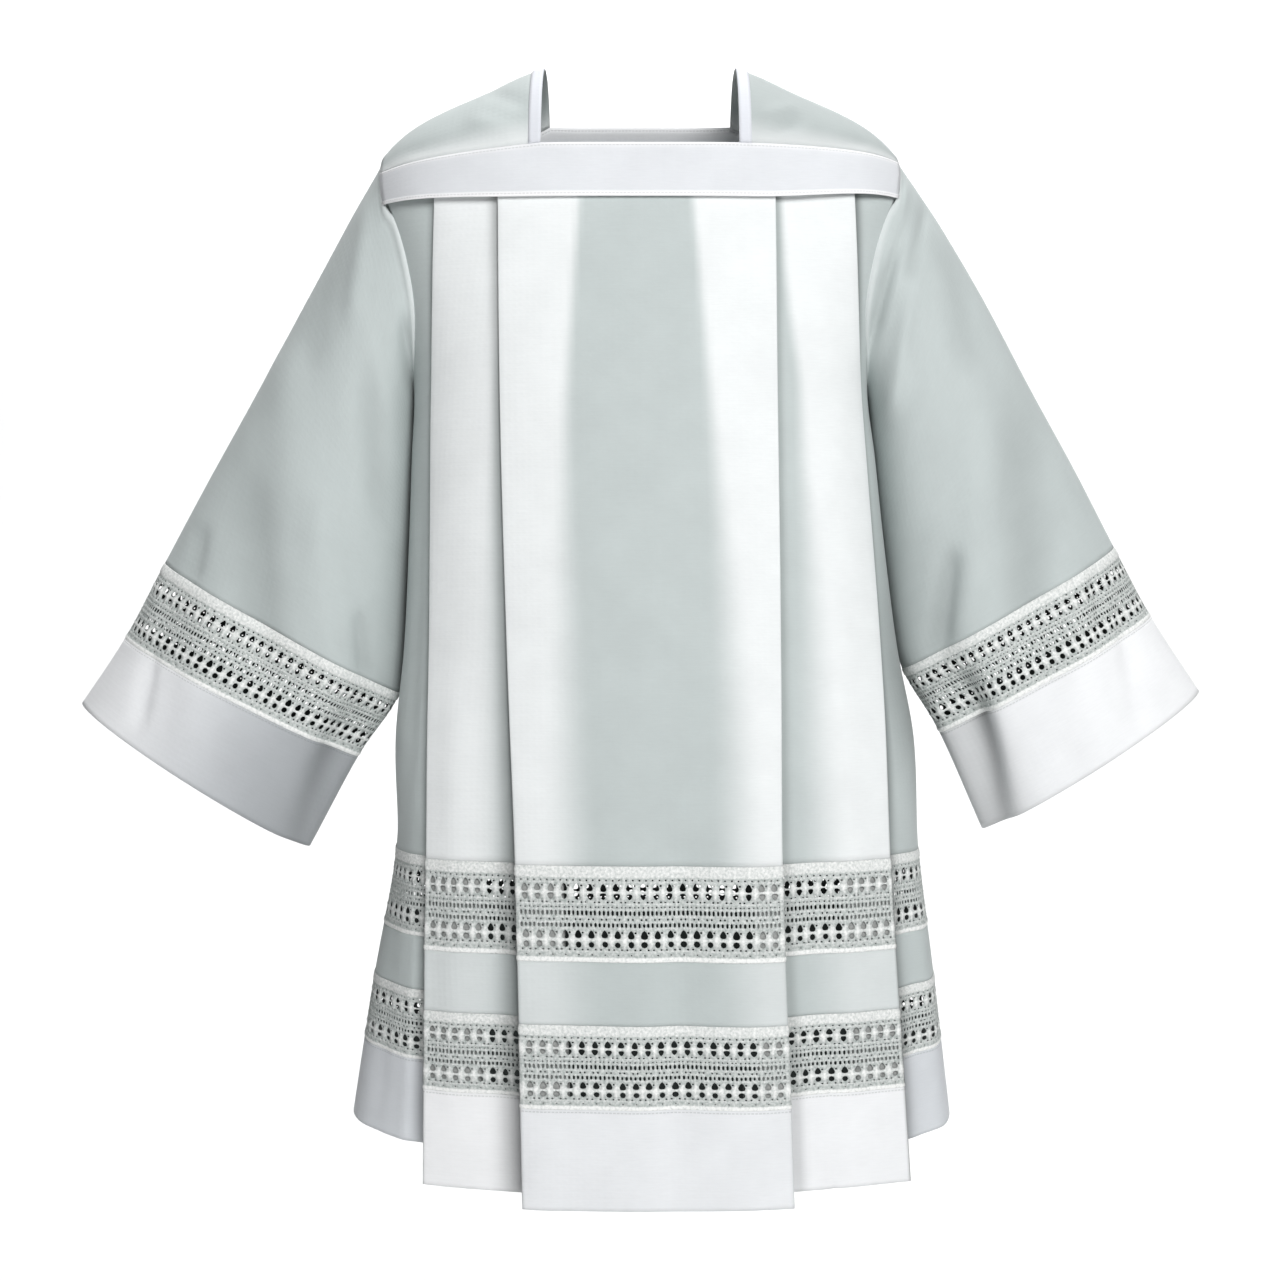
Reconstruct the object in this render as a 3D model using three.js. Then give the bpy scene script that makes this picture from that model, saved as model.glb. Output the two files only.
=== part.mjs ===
// Surplice of fine white cloth, hollow as it is worn, in millimetres, with +Z up and the front towards -Y.
// The origin is the middle of the shoulder line, at the height of the shoulders beside the neck.
// Left and right are the viewer's, so left is towards -X. Each sewn piece is one closed wall of cloth.

import * as THREE from 'three';

// Cloth
const CLOTH = 1.2;
const DOUBLED = 1.8;
const SEAM_GAP = 0.35;

// Heights of the seams round the body, at the middle of the front
const PLEAT_TOP = -124;
const ARMHOLE_ROWS = [-150, -180, -215, -245, -270, -286];
const SIDE_ROWS = [-360, -450, -540, -620];
const LACE_UPPER_TOP = -701;
const STRIP_TOP = -780;
const LACE_LOWER_TOP = -832;
const HEM_TOP = -900;
const HEM_BOTTOM = -981;

// Yoke and neck
const NECK_HALF_WIDTH = 85;
const NECK_FRONT = -86;
const NECK_BACK = -32;
const YOKE_BOTTOM = -133;
const YOKE_END_TOP = -99;
const YOKE_HALF_WIDTH = 222;
const ARCH_SQUARENESS = 2.2;
const ARCH_RADIUS = 75;
const BINDING_WIDTH = 10;

// Armhole, an oval seen from the side
const ARMHOLE = { z: -180, halfDepth: 72, halfHeight: 106 };
const ARMHOLE_CLEARANCE = 1.7;
const ARMHOLE_REACH = { least: 170, most: 236 };

// Pleats
const PLEAT_DEPTH = 52;
const FOLD_RADIUS = 3;
const LIFT_START = -690;
const LIFT = { side: 0.125, middle: 0.03, centre: 0 };

// Lace: one hole in each repeat of the openwork, as shares of the repeat's width and the band's height
const HOLE = { halfWidth: 0.26, top: 0.655, bottom: 0.745 };
const LACE_REPEATS = { centre: 20, middle: 8, side: 7, backCentre: 20, backSide: 13, halfSleeve: 26 };

// Plan of the body at each height: its sides, its depth to the front and back, and how square it is.
// The ripple is the height of the soft waves that stand in the skirt.
const BODY = [
  { z: -124, left: -238, right: 238, front: 113, back: 100, squareness: 3.0, ripple: 0 },
  { z: -180, left: -226, right: 226, front: 117, back: 105, squareness: 2.9, ripple: 0 },
  { z: -230, left: -213, right: 213, front: 119, back: 108, squareness: 2.8, ripple: 0 },
  { z: -286, left: -204, right: 205, front: 121, back: 110, squareness: 2.7, ripple: 0 },
  { z: -400, left: -203, right: 213, front: 124, back: 112, squareness: 2.6, ripple: 0 },
  { z: -520, left: -207, right: 224, front: 128, back: 116, squareness: 2.5, ripple: 1 },
  { z: -600, left: -219, right: 247, front: 131, back: 121, squareness: 2.5, ripple: 3 },
  { z: -700, left: -225, right: 254, front: 134, back: 129, squareness: 2.4, ripple: 4 },
  { z: -840, left: -244, right: 268, front: 138, back: 140, squareness: 2.4, ripple: 6 },
  { z: -985, left: -263, right: 283, front: 142, back: 152, squareness: 2.3, ripple: 8 },
];
const RIPPLES = 6;
const PLAN_STEPS = 180;

// Where the pleats' edges lie, and how far apart their layers hang
const PLEATS = [
  { z: -124, outerLeft: -178, innerLeft: -122, innerRight: 116, outerRight: 186, outerGap: 1.9, innerGap: 1.9 },
  { z: -310, outerLeft: -183, innerLeft: -120, innerRight: 118, outerRight: 196, outerGap: 1.9, innerGap: 1.9 },
  { z: -510, outerLeft: -184, innerLeft: -114, innerRight: 120, outerRight: 210, outerGap: 2.1, innerGap: 2.4 },
  { z: -700, outerLeft: -185, innerLeft: -106, innerRight: 119, outerRight: 217, outerGap: 5, innerGap: 4.5 },
  { z: -985, outerLeft: -184, innerLeft: -97, innerRight: 128, outerRight: 231, outerGap: 13, innerGap: 9 },
];

// Shoulder line from the neck out
const RIDGE = [
  { x: 0, z: 2 },
  { x: 85, z: 0 },
  { x: 140, z: -23 },
  { x: 200, z: -51 },
  { x: 232, z: -78 },
  { x: 250, z: -108 },
];

// How far the yoke stands out from the body's plan, to cover the pleats' tops
const YOKE_OFFSET = [
  { x: 0, front: 10.8, back: 7.0 },
  { x: 128, front: 10.8, back: 7.0 },
  { x: 192, front: 7.2, back: 4.2 },
  { x: 222, front: 2.9, back: 2.9 },
  { x: 240, front: 2.9, back: 2.9 },
];

// Sleeves: rings from the armhole to the cuff, each with its upper outer point and its lower inner point
const SLEEVES = {
  left: [
    { outerX: -229, outerZ: -76, innerX: -208, innerZ: -287, halfDepth: 72, fold: 0 },
    { outerX: -262, outerZ: -133, innerX: -209, innerZ: -330, halfDepth: 73, fold: 0 },
    { outerX: -300, outerZ: -203, innerX: -209, innerZ: -378, halfDepth: 72, fold: 0 },
    { outerX: -346, outerZ: -288, innerX: -210, innerZ: -434, halfDepth: 70, fold: 0 },
    { outerX: -392, outerZ: -371, innerX: -214, innerZ: -500, halfDepth: 69, fold: 1 },
    { outerX: -431, outerZ: -444, innerX: -225, innerZ: -562, halfDepth: 68, fold: 3 },
    { outerX: -467, outerZ: -512, innerX: -257, innerZ: -620, halfDepth: 66, fold: 6 },
    { outerX: -506, outerZ: -571, innerX: -301, innerZ: -702, halfDepth: 64, fold: 11 },
  ],
  right: [
    { outerX: 229, outerZ: -76, innerX: 209, innerZ: -287, halfDepth: 72, fold: 0 },
    { outerX: 268, outerZ: -133, innerX: 213, innerZ: -330, halfDepth: 73, fold: 0 },
    { outerX: 308, outerZ: -200, innerX: 219, innerZ: -378, halfDepth: 72, fold: 0 },
    { outerX: 352, outerZ: -283, innerX: 226, innerZ: -430, halfDepth: 70, fold: 0 },
    { outerX: 394, outerZ: -360, innerX: 233, innerZ: -485, halfDepth: 69, fold: 2 },
    { outerX: 430, outerZ: -430, innerX: 247, innerZ: -540, halfDepth: 68, fold: 5 },
    { outerX: 463, outerZ: -492, innerX: 273, innerZ: -598, halfDepth: 66, fold: 9 },
    { outerX: 507, outerZ: -560, innerX: 312, innerZ: -686, halfDepth: 64, fold: 14 },
  ],
};
const LACE_RING = 5;
const CUFF_RING = 6;
const SLEEVE_FOLD = { angle: 152, halfWidth: 26 };
const SLEEVE_RING_HEIGHT = 55;

// Turns round the sleeve from its upper outer line, in degrees: over the yoke, and next to the underarm
const YOKE_TURNS = [12, 25, 39, 52, 63.7];
const UNDERARM_TURN = 164;

// Colours of single and doubled cloth
const SINGLE_CLOTH = 0xd2d8d8;
const DOUBLED_CLOTH = 0xeef0f1;

// Reads a table at any place between its rows, on a smooth curve through them
function readTable(table, key, at, value) {
  const towards = Math.sign(table[1][key] - table[0][key]);
  let row = 0;
  while (row < table.length - 2 && (at - table[row + 1][key]) * towards > 0) row += 1;
  const from = table[row];
  const to = table[row + 1];
  const before = table[Math.max(row - 1, 0)];
  const after = table[Math.min(row + 2, table.length - 1)];
  const span = to[key] - from[key];
  const t = THREE.MathUtils.clamp((at - from[key]) / span, 0, 1);
  const slopeFrom = ((to[value] - before[value]) / (to[key] - before[key])) * span;
  const slopeTo = ((after[value] - from[value]) / (after[key] - from[key])) * span;
  const rise = to[value] - from[value];
  return from[value] + t * slopeFrom + t * t * (3 * rise - 2 * slopeFrom - slopeTo)
    + t * t * t * (slopeFrom + slopeTo - 2 * rise);
}

function readRow(table, key, at) {
  const row = {};
  for (const value of Object.keys(table[0])) row[value] = readTable(table, key, at, value);
  return row;
}

// Finds where a function that falls or rises steadily between two values is zero
function solve(low, high, measure) {
  const rising = measure(high) > measure(low);
  let [a, b] = [low, high];
  for (let step = 0; step < 40; step += 1) {
    const middle = (a + b) / 2;
    if ((measure(middle) > 0) === rising) b = middle;
    else a = middle;
  }
  return (a + b) / 2;
}

// Half of the body's plan at one height, front or back, measured along its own length from the middle
class PlanCurve {
  constructor(z, facing) {
    this.z = z;
    this.facing = facing;
    this.section = readRow(BODY, 'z', z);
    this.middle = (this.section.left + this.section.right) / 2;
    this.halfWidth = (this.section.right - this.section.left) / 2;
    this.depth = facing < 0 ? this.section.front : this.section.back;
    this.angles = [0];
    this.lengths = [0];
    let last = this.pointAtAngle(0, 0);
    for (let step = 1; step <= PLAN_STEPS; step += 1) {
      const angle = ((step / PLAN_STEPS) * Math.PI) / 2;
      const here = this.pointAtAngle(angle, 0);
      this.angles.push(angle);
      this.lengths.push(this.lengths[step - 1] + Math.hypot(here.x - last.x, here.y - last.y));
      last = here;
    }
    this.half = this.lengths[PLAN_STEPS];
  }

  // A point on the plan, moved out by an offset at right angles to it
  pointAtAngle(angle, offset) {
    const n = this.section.squareness;
    const across = Math.sign(angle) * Math.abs(Math.sin(angle)) ** (2 / n);
    const forward = Math.abs(Math.cos(angle)) ** (2 / n);
    const normalX = (Math.sign(across) * Math.abs(across) ** (n - 1)) / this.halfWidth;
    const normalY = (this.facing * forward ** (n - 1)) / this.depth;
    const length = Math.hypot(normalX, normalY);
    const share = this.facing < 0 ? Math.sin(angle) ** 2 : 1;
    const out = offset + this.section.ripple * share * Math.cos(RIPPLES * angle);
    return {
      x: this.middle + this.halfWidth * across + (out * normalX) / length,
      y: this.facing * this.depth * forward + (out * normalY) / length,
    };
  }

  pointAt(length, offset) {
    const distance = Math.min(Math.abs(length), this.half);
    let step = 1;
    while (step < this.lengths.length - 1 && this.lengths[step] < distance) step += 1;
    const share = (distance - this.lengths[step - 1]) / (this.lengths[step] - this.lengths[step - 1]);
    const angle = THREE.MathUtils.lerp(this.angles[step - 1], this.angles[step], share);
    return this.pointAtAngle(Math.sign(length) * angle, offset);
  }

  lengthAtX(x, offset) {
    return solve(-this.half, this.half, (length) => this.pointAt(length, offset).x - x);
  }

  // The side edge: the armhole's rim where there is one, and the side seam below it
  edge(side) {
    const up = (this.z - ARMHOLE.z) / ARMHOLE.halfHeight;
    const rim = ARMHOLE.halfDepth * Math.sqrt(Math.max(0, 1 - up * up));
    const y = Math.max(rim, SEAM_GAP);
    return side * solve(0, this.half, (length) => y - Math.abs(this.pointAt(length, 0).y));
  }
}

// The cloth's direction at a point of a row, from its neighbours. At an end it is carried on along the curve.
function alongRow(points, column, wrap) {
  const unit = (from, to) => points[to].clone().sub(points[from]).normalize();
  const last = points.length - 1;
  if (wrap) {
    return unit((column + last) % points.length, column).add(unit(column, (column + 1) % points.length));
  }
  if (last === 1) return unit(0, 1);
  if (column === 0) return unit(0, 1).multiplyScalar(3).sub(unit(1, 2));
  if (column === last) return unit(last - 1, last).multiplyScalar(3).sub(unit(last - 2, last - 1));
  return unit(column - 1, column).add(unit(column, column + 1));
}

function downColumn(grid, row, column) {
  const above = grid[Math.max(row - 1, 0)][column];
  const below = grid[Math.min(row + 1, grid.length - 1)][column];
  return below.clone().sub(above);
}

// A grid of points moved out of the cloth's surface by a distance
function movedOut(grid, distance, wrap = false) {
  return grid.map((points, row) => points.map((point, column) => {
    const normal = downColumn(grid, row, column).cross(alongRow(points, column, wrap)).normalize();
    return point.clone().addScaledVector(normal, distance);
  }));
}

// Closed wall of cloth through a grid of points in the middle of the cloth, grid[row][column].
// A cell that isCut names by its column has the lace's three-cornered hole.
function wall(grid, thickness, { wrap = false, isCut = () => false } = {}) {
  const rows = grid.length;
  const columns = grid[0].length;
  const cells = wrap ? columns : columns - 1;
  const outside = movedOut(grid, thickness / 2, wrap);
  const inside = movedOut(grid, -thickness / 2, wrap);
  const positions = [];
  const triangles = [];
  outside.forEach((points, row) => points.forEach((point, column) => {
    positions.push(point, inside[row][column]);
  }));

  // Each outside vertex is followed by its inside one
  const vertex = (row, column) => 2 * (row * columns + (column % columns));
  const face = (a, b, c) => triangles.push(a, b, c, a + 1, c + 1, b + 1);
  const rim = (a, b) => triangles.push(a, b, b + 1, a, b + 1, a + 1);

  const cutCell = (topLeft, topRight, bottomLeft, bottomRight) => {
    const apex = positions.length;
    const corners = [[0.5, HOLE.top], [0.5 - HOLE.halfWidth, HOLE.bottom], [0.5 + HOLE.halfWidth, HOLE.bottom]];
    for (const [across, down] of corners) {
      for (const skin of [0, 1]) {
        const top = positions[topLeft + skin].clone().lerp(positions[topRight + skin], across);
        const bottom = positions[bottomLeft + skin].clone().lerp(positions[bottomRight + skin], across);
        positions.push(top.lerp(bottom, down));
      }
    }
    const left = apex + 2;
    const right = apex + 4;
    face(topLeft, apex, topRight);
    face(topLeft, bottomLeft, left);
    face(topLeft, left, apex);
    face(topRight, apex, right);
    face(topRight, right, bottomRight);
    face(bottomLeft, bottomRight, right);
    face(bottomLeft, right, left);
    rim(apex, left);
    rim(left, right);
    rim(right, apex);
  };

  for (let row = 0; row < rows - 1; row += 1) {
    for (let column = 0; column < cells; column += 1) {
      const corners = [
        vertex(row, column), vertex(row, column + 1), vertex(row + 1, column), vertex(row + 1, column + 1),
      ];
      const [topLeft, topRight, bottomLeft, bottomRight] = corners;
      if (isCut(column)) {
        cutCell(...corners);
      } else {
        face(topLeft, bottomLeft, bottomRight);
        face(topLeft, bottomRight, topRight);
      }
    }
  }
  for (let column = 0; column < cells; column += 1) {
    rim(vertex(0, column), vertex(0, column + 1));
    rim(vertex(rows - 1, column + 1), vertex(rows - 1, column));
  }
  for (let row = 0; row < rows - 1 && !wrap; row += 1) {
    rim(vertex(row + 1, 0), vertex(row, 0));
    rim(vertex(row, columns - 1), vertex(row + 1, columns - 1));
  }

  // The faces point out of the cloth when its volume is positive
  let volume = 0;
  for (let index = 0; index < triangles.length; index += 3) {
    const [a, b, c] = triangles.slice(index, index + 3).map((corner) => positions[corner]);
    volume += a.dot(b.clone().cross(c));
  }
  if (volume < 0) triangles.reverse();
  const geometry = new THREE.BufferGeometry();
  geometry.setAttribute('position', new THREE.Float32BufferAttribute(positions.flatMap((p) => p.toArray()), 3));
  geometry.setIndex(triangles);
  return geometry;
}

const surplice = new THREE.Group();

function addPiece(name, color, geometry) {
  const material = new THREE.MeshStandardMaterial({ color, roughness: 0.85, metalness: 0 });
  const mesh = new THREE.Mesh(geometry, material);
  mesh.name = name;
  surplice.add(mesh);
}

// The columns of a skirt from one side edge to the other, over and under its pleats. Each column has its
// place along the plan, the level of its layer, how fast its hem lifts, and whether the cell before it is cut.
// In plain cloth the columns of a pleat's three layers lie over each other, which keeps the layers apart.
function skirtColumns(pleatNames, counts, isLace) {
  const overlap = isLace ? 0 : PLEAT_DEPTH / 2;

  const half = (side) => {
    const columns = [];
    const sideName = side < 0 ? 'Left' : 'Right';
    let level = () => 0;
    let start = (plan) => plan.edge(side);
    columns.push({ place: start, level, lift: LIFT.side, cut: false });
    pleatNames.forEach((pleat, order) => {
      const lower = level;
      const gap = (row) => row[`${pleat}Gap`];
      const upper = (row) => lower(row) + 2 * gap(row);
      const edge = (plan, row) => plan.lengthAtX(row[pleat + sideName], upper(row));
      const radius = (row) => Math.min(gap(row) / 2, FOLD_RADIUS);
      const lift = order === 0 ? LIFT.side : LIFT.middle;
      const nextLift = pleat === 'inner' ? LIFT.centre : LIFT.middle;

      // The flat stretch up to the pleat
      const flatStart = start;
      const count = order === 0 ? counts.side : counts.middle;
      for (let index = 1; index <= count; index += 1) {
        const place = (plan, row) => THREE.MathUtils.lerp(flatStart(plan, row), edge(plan, row), index / count);
        columns.push({ place, level: lower, lift, cut: isLace });
      }

      // Under the pleat, round its hidden fold, back, and round its edge that shows
      const addFoldColumn = (distance, layer, columnLift) => columns.push({
        place: (plan, row) => edge(plan, row) - side * distance(row),
        level: (row) => lower(row) + layer * gap(row),
        lift: columnLift,
        cut: false,
      });
      addFoldColumn(() => PLEAT_DEPTH / 2, 0, lift);
      addFoldColumn((row) => PLEAT_DEPTH - radius(row), 0, lift);
      addFoldColumn(() => PLEAT_DEPTH, 0.5, lift);
      addFoldColumn((row) => PLEAT_DEPTH - radius(row), 1, lift);
      addFoldColumn(() => PLEAT_DEPTH / 2, 1, (lift + nextLift) / 2);
      addFoldColumn(radius, 1, nextLift);
      addFoldColumn(() => 0, 1.5, nextLift);
      addFoldColumn(radius, 2, nextLift);
      if (!isLace) {
        addFoldColumn(() => PLEAT_DEPTH / 2, 2, nextLift);
        addFoldColumn(() => PLEAT_DEPTH, 2, nextLift);
      }
      level = upper;
      start = (plan, row) => edge(plan, row) - side * 2 * overlap;
    });
    return { columns, start, level };
  };

  const left = half(-1);
  const right = half(1);
  const centre = [];
  for (let index = 1; index < counts.centre; index += 1) {
    const share = index / counts.centre;
    centre.push({
      place: (plan, row) => THREE.MathUtils.lerp(left.start(plan, row), right.start(plan, row), share),
      level: left.level,
      lift: LIFT.centre,
      cut: isLace,
    });
  }
  // From right to left the cell that a column closes is the one before it, so the marks move by one
  const mirrored = right.columns.reverse();
  const marks = [isLace, ...mirrored.map((column) => column.cut)];
  const rightColumns = mirrored.map((column, index) => ({ ...column, cut: marks[index] }));
  return [...left.columns, ...centre, ...rightColumns];
}

// One band of the skirt, with a row of points at each of its heights
function skirtBand(facing, columns, heights, thickness) {
  const grid = heights.map((z) => {
    const plan = new PlanCurve(z, facing);
    const row = readRow(PLEATS, 'z', z);
    return columns.map((column) => {
      const point = plan.pointAt(column.place(plan, row), column.level(row));
      return new THREE.Vector3(point.x, point.y, z + column.lift * Math.max(0, LIFT_START - z));
    });
  });
  return wall(grid, thickness, { isCut: (column) => columns[column + 1].cut });
}

function addSkirt(name, facing, pleatNames, plainCounts, laceCounts) {
  const plain = skirtColumns(pleatNames, plainCounts, false);
  const lace = skirtColumns(pleatNames, laceCounts, true);
  const gap = SEAM_GAP / 2;
  const panelHeights = [PLEAT_TOP, ...ARMHOLE_ROWS, ...SIDE_ROWS, LACE_UPPER_TOP + gap];
  addPiece(`${name}_panel`, SINGLE_CLOTH, skirtBand(facing, plain, panelHeights, CLOTH));
  const bands = [
    ['lace_upper', lace, SINGLE_CLOTH, CLOTH, LACE_UPPER_TOP, STRIP_TOP],
    ['strip', plain, SINGLE_CLOTH, CLOTH, STRIP_TOP, LACE_LOWER_TOP],
    ['lace_lower', lace, SINGLE_CLOTH, CLOTH, LACE_LOWER_TOP, HEM_TOP],
    ['hem', plain, DOUBLED_CLOTH, DOUBLED, HEM_TOP, HEM_BOTTOM],
  ];
  for (const [band, columns, color, thickness, top, bottom] of bands) {
    addPiece(`${name}_${band}`, color, skirtBand(facing, columns, [top - gap, bottom + gap], thickness));
  }
}

// The yoke's surface is an arch from the front over the shoulder line to the back, at each x.
// Its angle is a quarter turn negative at the front's lower edge, and a quarter turn positive at the back's.
const yokePlans = { front: new PlanCurve(PLEAT_TOP, -1), back: new PlanCurve(PLEAT_TOP, 1) };

function yokeDepth(x, face) {
  const offset = readTable(YOKE_OFFSET, 'x', Math.abs(x), face);
  const plan = yokePlans[face];
  return Math.abs(plan.pointAt(plan.lengthAtX(Math.abs(x), offset), offset).y);
}

function yokePoint(x, angle) {
  const depth = yokeDepth(x, angle < 0 ? 'front' : 'back');
  const ridge = readTable(RIDGE, 'x', Math.abs(x), 'z');
  const y = Math.sign(angle) * depth * Math.abs(Math.sin(angle)) ** (2 / ARCH_SQUARENESS);
  const z = YOKE_BOTTOM + (ridge - YOKE_BOTTOM) * Math.abs(Math.cos(angle)) ** (2 / ARCH_SQUARENESS);
  return new THREE.Vector3(x, y, z);
}

function yokeAngle(x, z) {
  const ridge = readTable(RIDGE, 'x', Math.abs(x), 'z');
  return Math.acos(((z - YOKE_BOTTOM) / (ridge - YOKE_BOTTOM)) ** (ARCH_SQUARENESS / 2));
}

// Where the arch at an angle reaches the armhole's rim
function yokeEnd(angle) {
  return solve(ARMHOLE_REACH.least, ARMHOLE_REACH.most, (x) => {
    const point = yokePoint(x, angle);
    return (point.y / ARMHOLE.halfDepth) ** 2 + ((point.z - ARMHOLE.z) / ARMHOLE.halfHeight) ** 2 - 1;
  });
}

// The upper edge of a yoke band, level at the neck and sloping down to the armholes
function bandTop(x, neckHeight) {
  const reach = (Math.abs(x) - NECK_HALF_WIDTH) / (YOKE_HALF_WIDTH - NECK_HALF_WIDTH);
  return THREE.MathUtils.lerp(neckHeight, YOKE_END_TOP, THREE.MathUtils.clamp(reach, 0, 1));
}

// Places across one shoulder, from the neck to the armhole, which the yoke bands and shoulders share
const SHOULDER_ROWS = 9;
const SHOULDER_SHARES = [0, 0.12, 0.32, 0.52, 0.68, 0.81, 0.91, 1];
const acrossShoulder = SHOULDER_SHARES.map((share) => (angle) => (
  THREE.MathUtils.lerp(NECK_HALF_WIDTH, yokeEnd(angle), share)
));

// Finds x and the arch's angle together, since each place across depends on the angle and the reverse
function settle(placeAt, angleAt) {
  let x = NECK_HALF_WIDTH;
  let angle = 0;
  for (let step = 0; step < 5; step += 1) {
    angle = angleAt(x);
    x = placeAt(angle);
  }
  return { x, angle };
}

function yokeBand(facing, neckHeight) {
  const across = [
    ...acrossShoulder.map((place) => (angle) => -place(angle)).reverse(),
    ...[-0.67, -0.33, 0, 0.33, 0.67].map((share) => () => share * NECK_HALF_WIDTH),
    ...acrossShoulder,
  ];
  const grid = [0, 0.5, 1].map((share) => across.map((placeAt) => {
    const { x, angle } = settle(placeAt, (place) => {
      const z = THREE.MathUtils.lerp(bandTop(place, neckHeight), YOKE_BOTTOM, share);
      return facing * yokeAngle(place, z);
    });
    return yokePoint(x, angle);
  }));
  return wall(grid, DOUBLED);
}

// Grid over one shoulder between the two yoke bands, at the places across that are given
function shoulderGrid(side, across) {
  const gap = SEAM_GAP / ARCH_RADIUS;
  const grid = [];
  for (let row = 0; row < SHOULDER_ROWS; row += 1) {
    grid.push(across.map((placeAt) => {
      const { x, angle } = settle(placeAt, (place) => {
        const front = gap - yokeAngle(place, bandTop(place, NECK_FRONT));
        const back = yokeAngle(place, bandTop(place, NECK_BACK)) - gap;
        return THREE.MathUtils.lerp(front, back, row / (SHOULDER_ROWS - 1));
      });
      const point = yokePoint(x, angle);
      return new THREE.Vector3(side * point.x, point.y, point.z);
    }));
  }
  return grid;
}

function addShoulder(name, side) {
  addPiece(`shoulder_${name}`, SINGLE_CLOTH, wall(shoulderGrid(side, acrossShoulder), CLOTH));
  const edges = [() => NECK_HALF_WIDTH, () => NECK_HALF_WIDTH + BINDING_WIDTH];
  const raised = movedOut(shoulderGrid(side, edges), -side * (CLOTH + SEAM_GAP));
  addPiece(`neck_binding_${name}`, DOUBLED_CLOTH, wall(raised, CLOTH));
}

// The armhole's rim at an angle from the shoulder point, moved out to clear the cloth it is sewn to
function armholePoint(side, angle) {
  const y = side * ARMHOLE.halfDepth * Math.sin(angle);
  const z = ARMHOLE.z + ARMHOLE.halfHeight * Math.cos(angle);
  const facing = y < 0 ? -1 : 1;
  const plan = new PlanCurve(z, facing);
  const length = solve(0, plan.half, (place) => Math.abs(y) - Math.abs(plan.pointAt(side * place, 0).y));
  const bodyX = Math.abs(plan.pointAt(side * length, 0).x);
  const archHeight = (x) => {
    const ridge = readTable(RIDGE, 'x', x, 'z');
    const share = Math.min(Math.abs(y) / yokeDepth(x, facing < 0 ? 'front' : 'back'), 1);
    return YOKE_BOTTOM + (ridge - YOKE_BOTTOM) * (1 - share ** ARCH_SQUARENESS) ** (1 / ARCH_SQUARENESS);
  };
  const { least, most } = ARMHOLE_REACH;
  const x = z < YOKE_BOTTOM - SEAM_GAP ? bodyX : solve(least, most, (place) => archHeight(place) - z);
  return new THREE.Vector3(side * (x + ARMHOLE_CLEARANCE), y, z);
}

// A point of a sleeve's ring. The fold is a soft trough in the front that deepens towards the cuff.
function sleevePoint(side, ring, angle) {
  const outer = new THREE.Vector3(ring.outerX, 0, ring.outerZ);
  const inner = new THREE.Vector3(ring.innerX, 0, ring.innerZ);
  const centre = outer.clone().lerp(inner, 0.5);
  const point = centre.clone().addScaledVector(outer.sub(centre), Math.cos(angle));
  point.y = side * ring.halfDepth * Math.sin(angle);
  const turn = THREE.MathUtils.radToDeg(side < 0 ? angle : 2 * Math.PI - angle);
  const fromFold = Math.abs(turn - SLEEVE_FOLD.angle) / SLEEVE_FOLD.halfWidth;
  const trough = fromFold < 1 ? (1 + Math.cos(Math.PI * fromFold)) / 2 : 0;
  return point.addScaledVector(centre.sub(point).normalize(), ring.fold * trough);
}

function sleeveRing(side, rings, place, angles) {
  const row = Math.min(Math.floor(place), rings.length - 2);
  const ring = {};
  for (const value of Object.keys(rings[0])) {
    ring[value] = THREE.MathUtils.lerp(rings[row][value], rings[row + 1][value], place - row);
  }
  return angles.map((angle) => (place === 0 ? armholePoint(side, angle) : sleevePoint(side, ring, angle)));
}

// Angles round the armhole: even steps over the yoke, and below it the heights of the body's rows
function sleeveAngles() {
  const ahead = YOKE_TURNS.map(THREE.MathUtils.degToRad);
  const below = ARMHOLE_ROWS.slice(0, -1).map((z) => Math.acos((z - ARMHOLE.z) / ARMHOLE.halfHeight));
  const half = [...ahead, ...below, THREE.MathUtils.degToRad(UNDERARM_TURN)];
  return [0, ...half, Math.PI, ...half.map((angle) => 2 * Math.PI - angle).reverse()];
}

function addSleeve(name, side) {
  const rings = SLEEVES[name];
  const gap = SEAM_GAP / 2 / SLEEVE_RING_HEIGHT;
  const tube = (places, thickness) => {
    const grid = places.map((place) => sleeveRing(side, rings, place, sleeveAngles()));
    return wall(grid, thickness, { wrap: true });
  };
  addPiece(`sleeve_${name}`, SINGLE_CLOTH, tube([0, 1, 2, 3, 4, LACE_RING - gap], CLOTH));
  const cuffEnd = rings.length - 1;
  addPiece(`cuff_${name}`, DOUBLED_CLOTH, tube([CUFF_RING + gap, (CUFF_RING + cuffEnd) / 2, cuffEnd], DOUBLED));

  const halves = side < 0 ? ['front', 'back'] : ['back', 'front'];
  const sideGap = SEAM_GAP / 2 / rings[CUFF_RING].halfDepth;
  halves.forEach((half, order) => {
    const angles = [];
    for (let repeat = 0; repeat <= LACE_REPEATS.halfSleeve; repeat += 1) {
      const share = repeat / LACE_REPEATS.halfSleeve;
      angles.push(order * Math.PI + THREE.MathUtils.lerp(sideGap, Math.PI - sideGap, share));
    }
    const grid = [LACE_RING + gap, CUFF_RING - gap].map((place) => sleeveRing(side, rings, place, angles));
    addPiece(`sleeve_lace_${name}_${half}`, SINGLE_CLOTH, wall(grid, CLOTH, { isCut: () => true }));
  });
}

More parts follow.
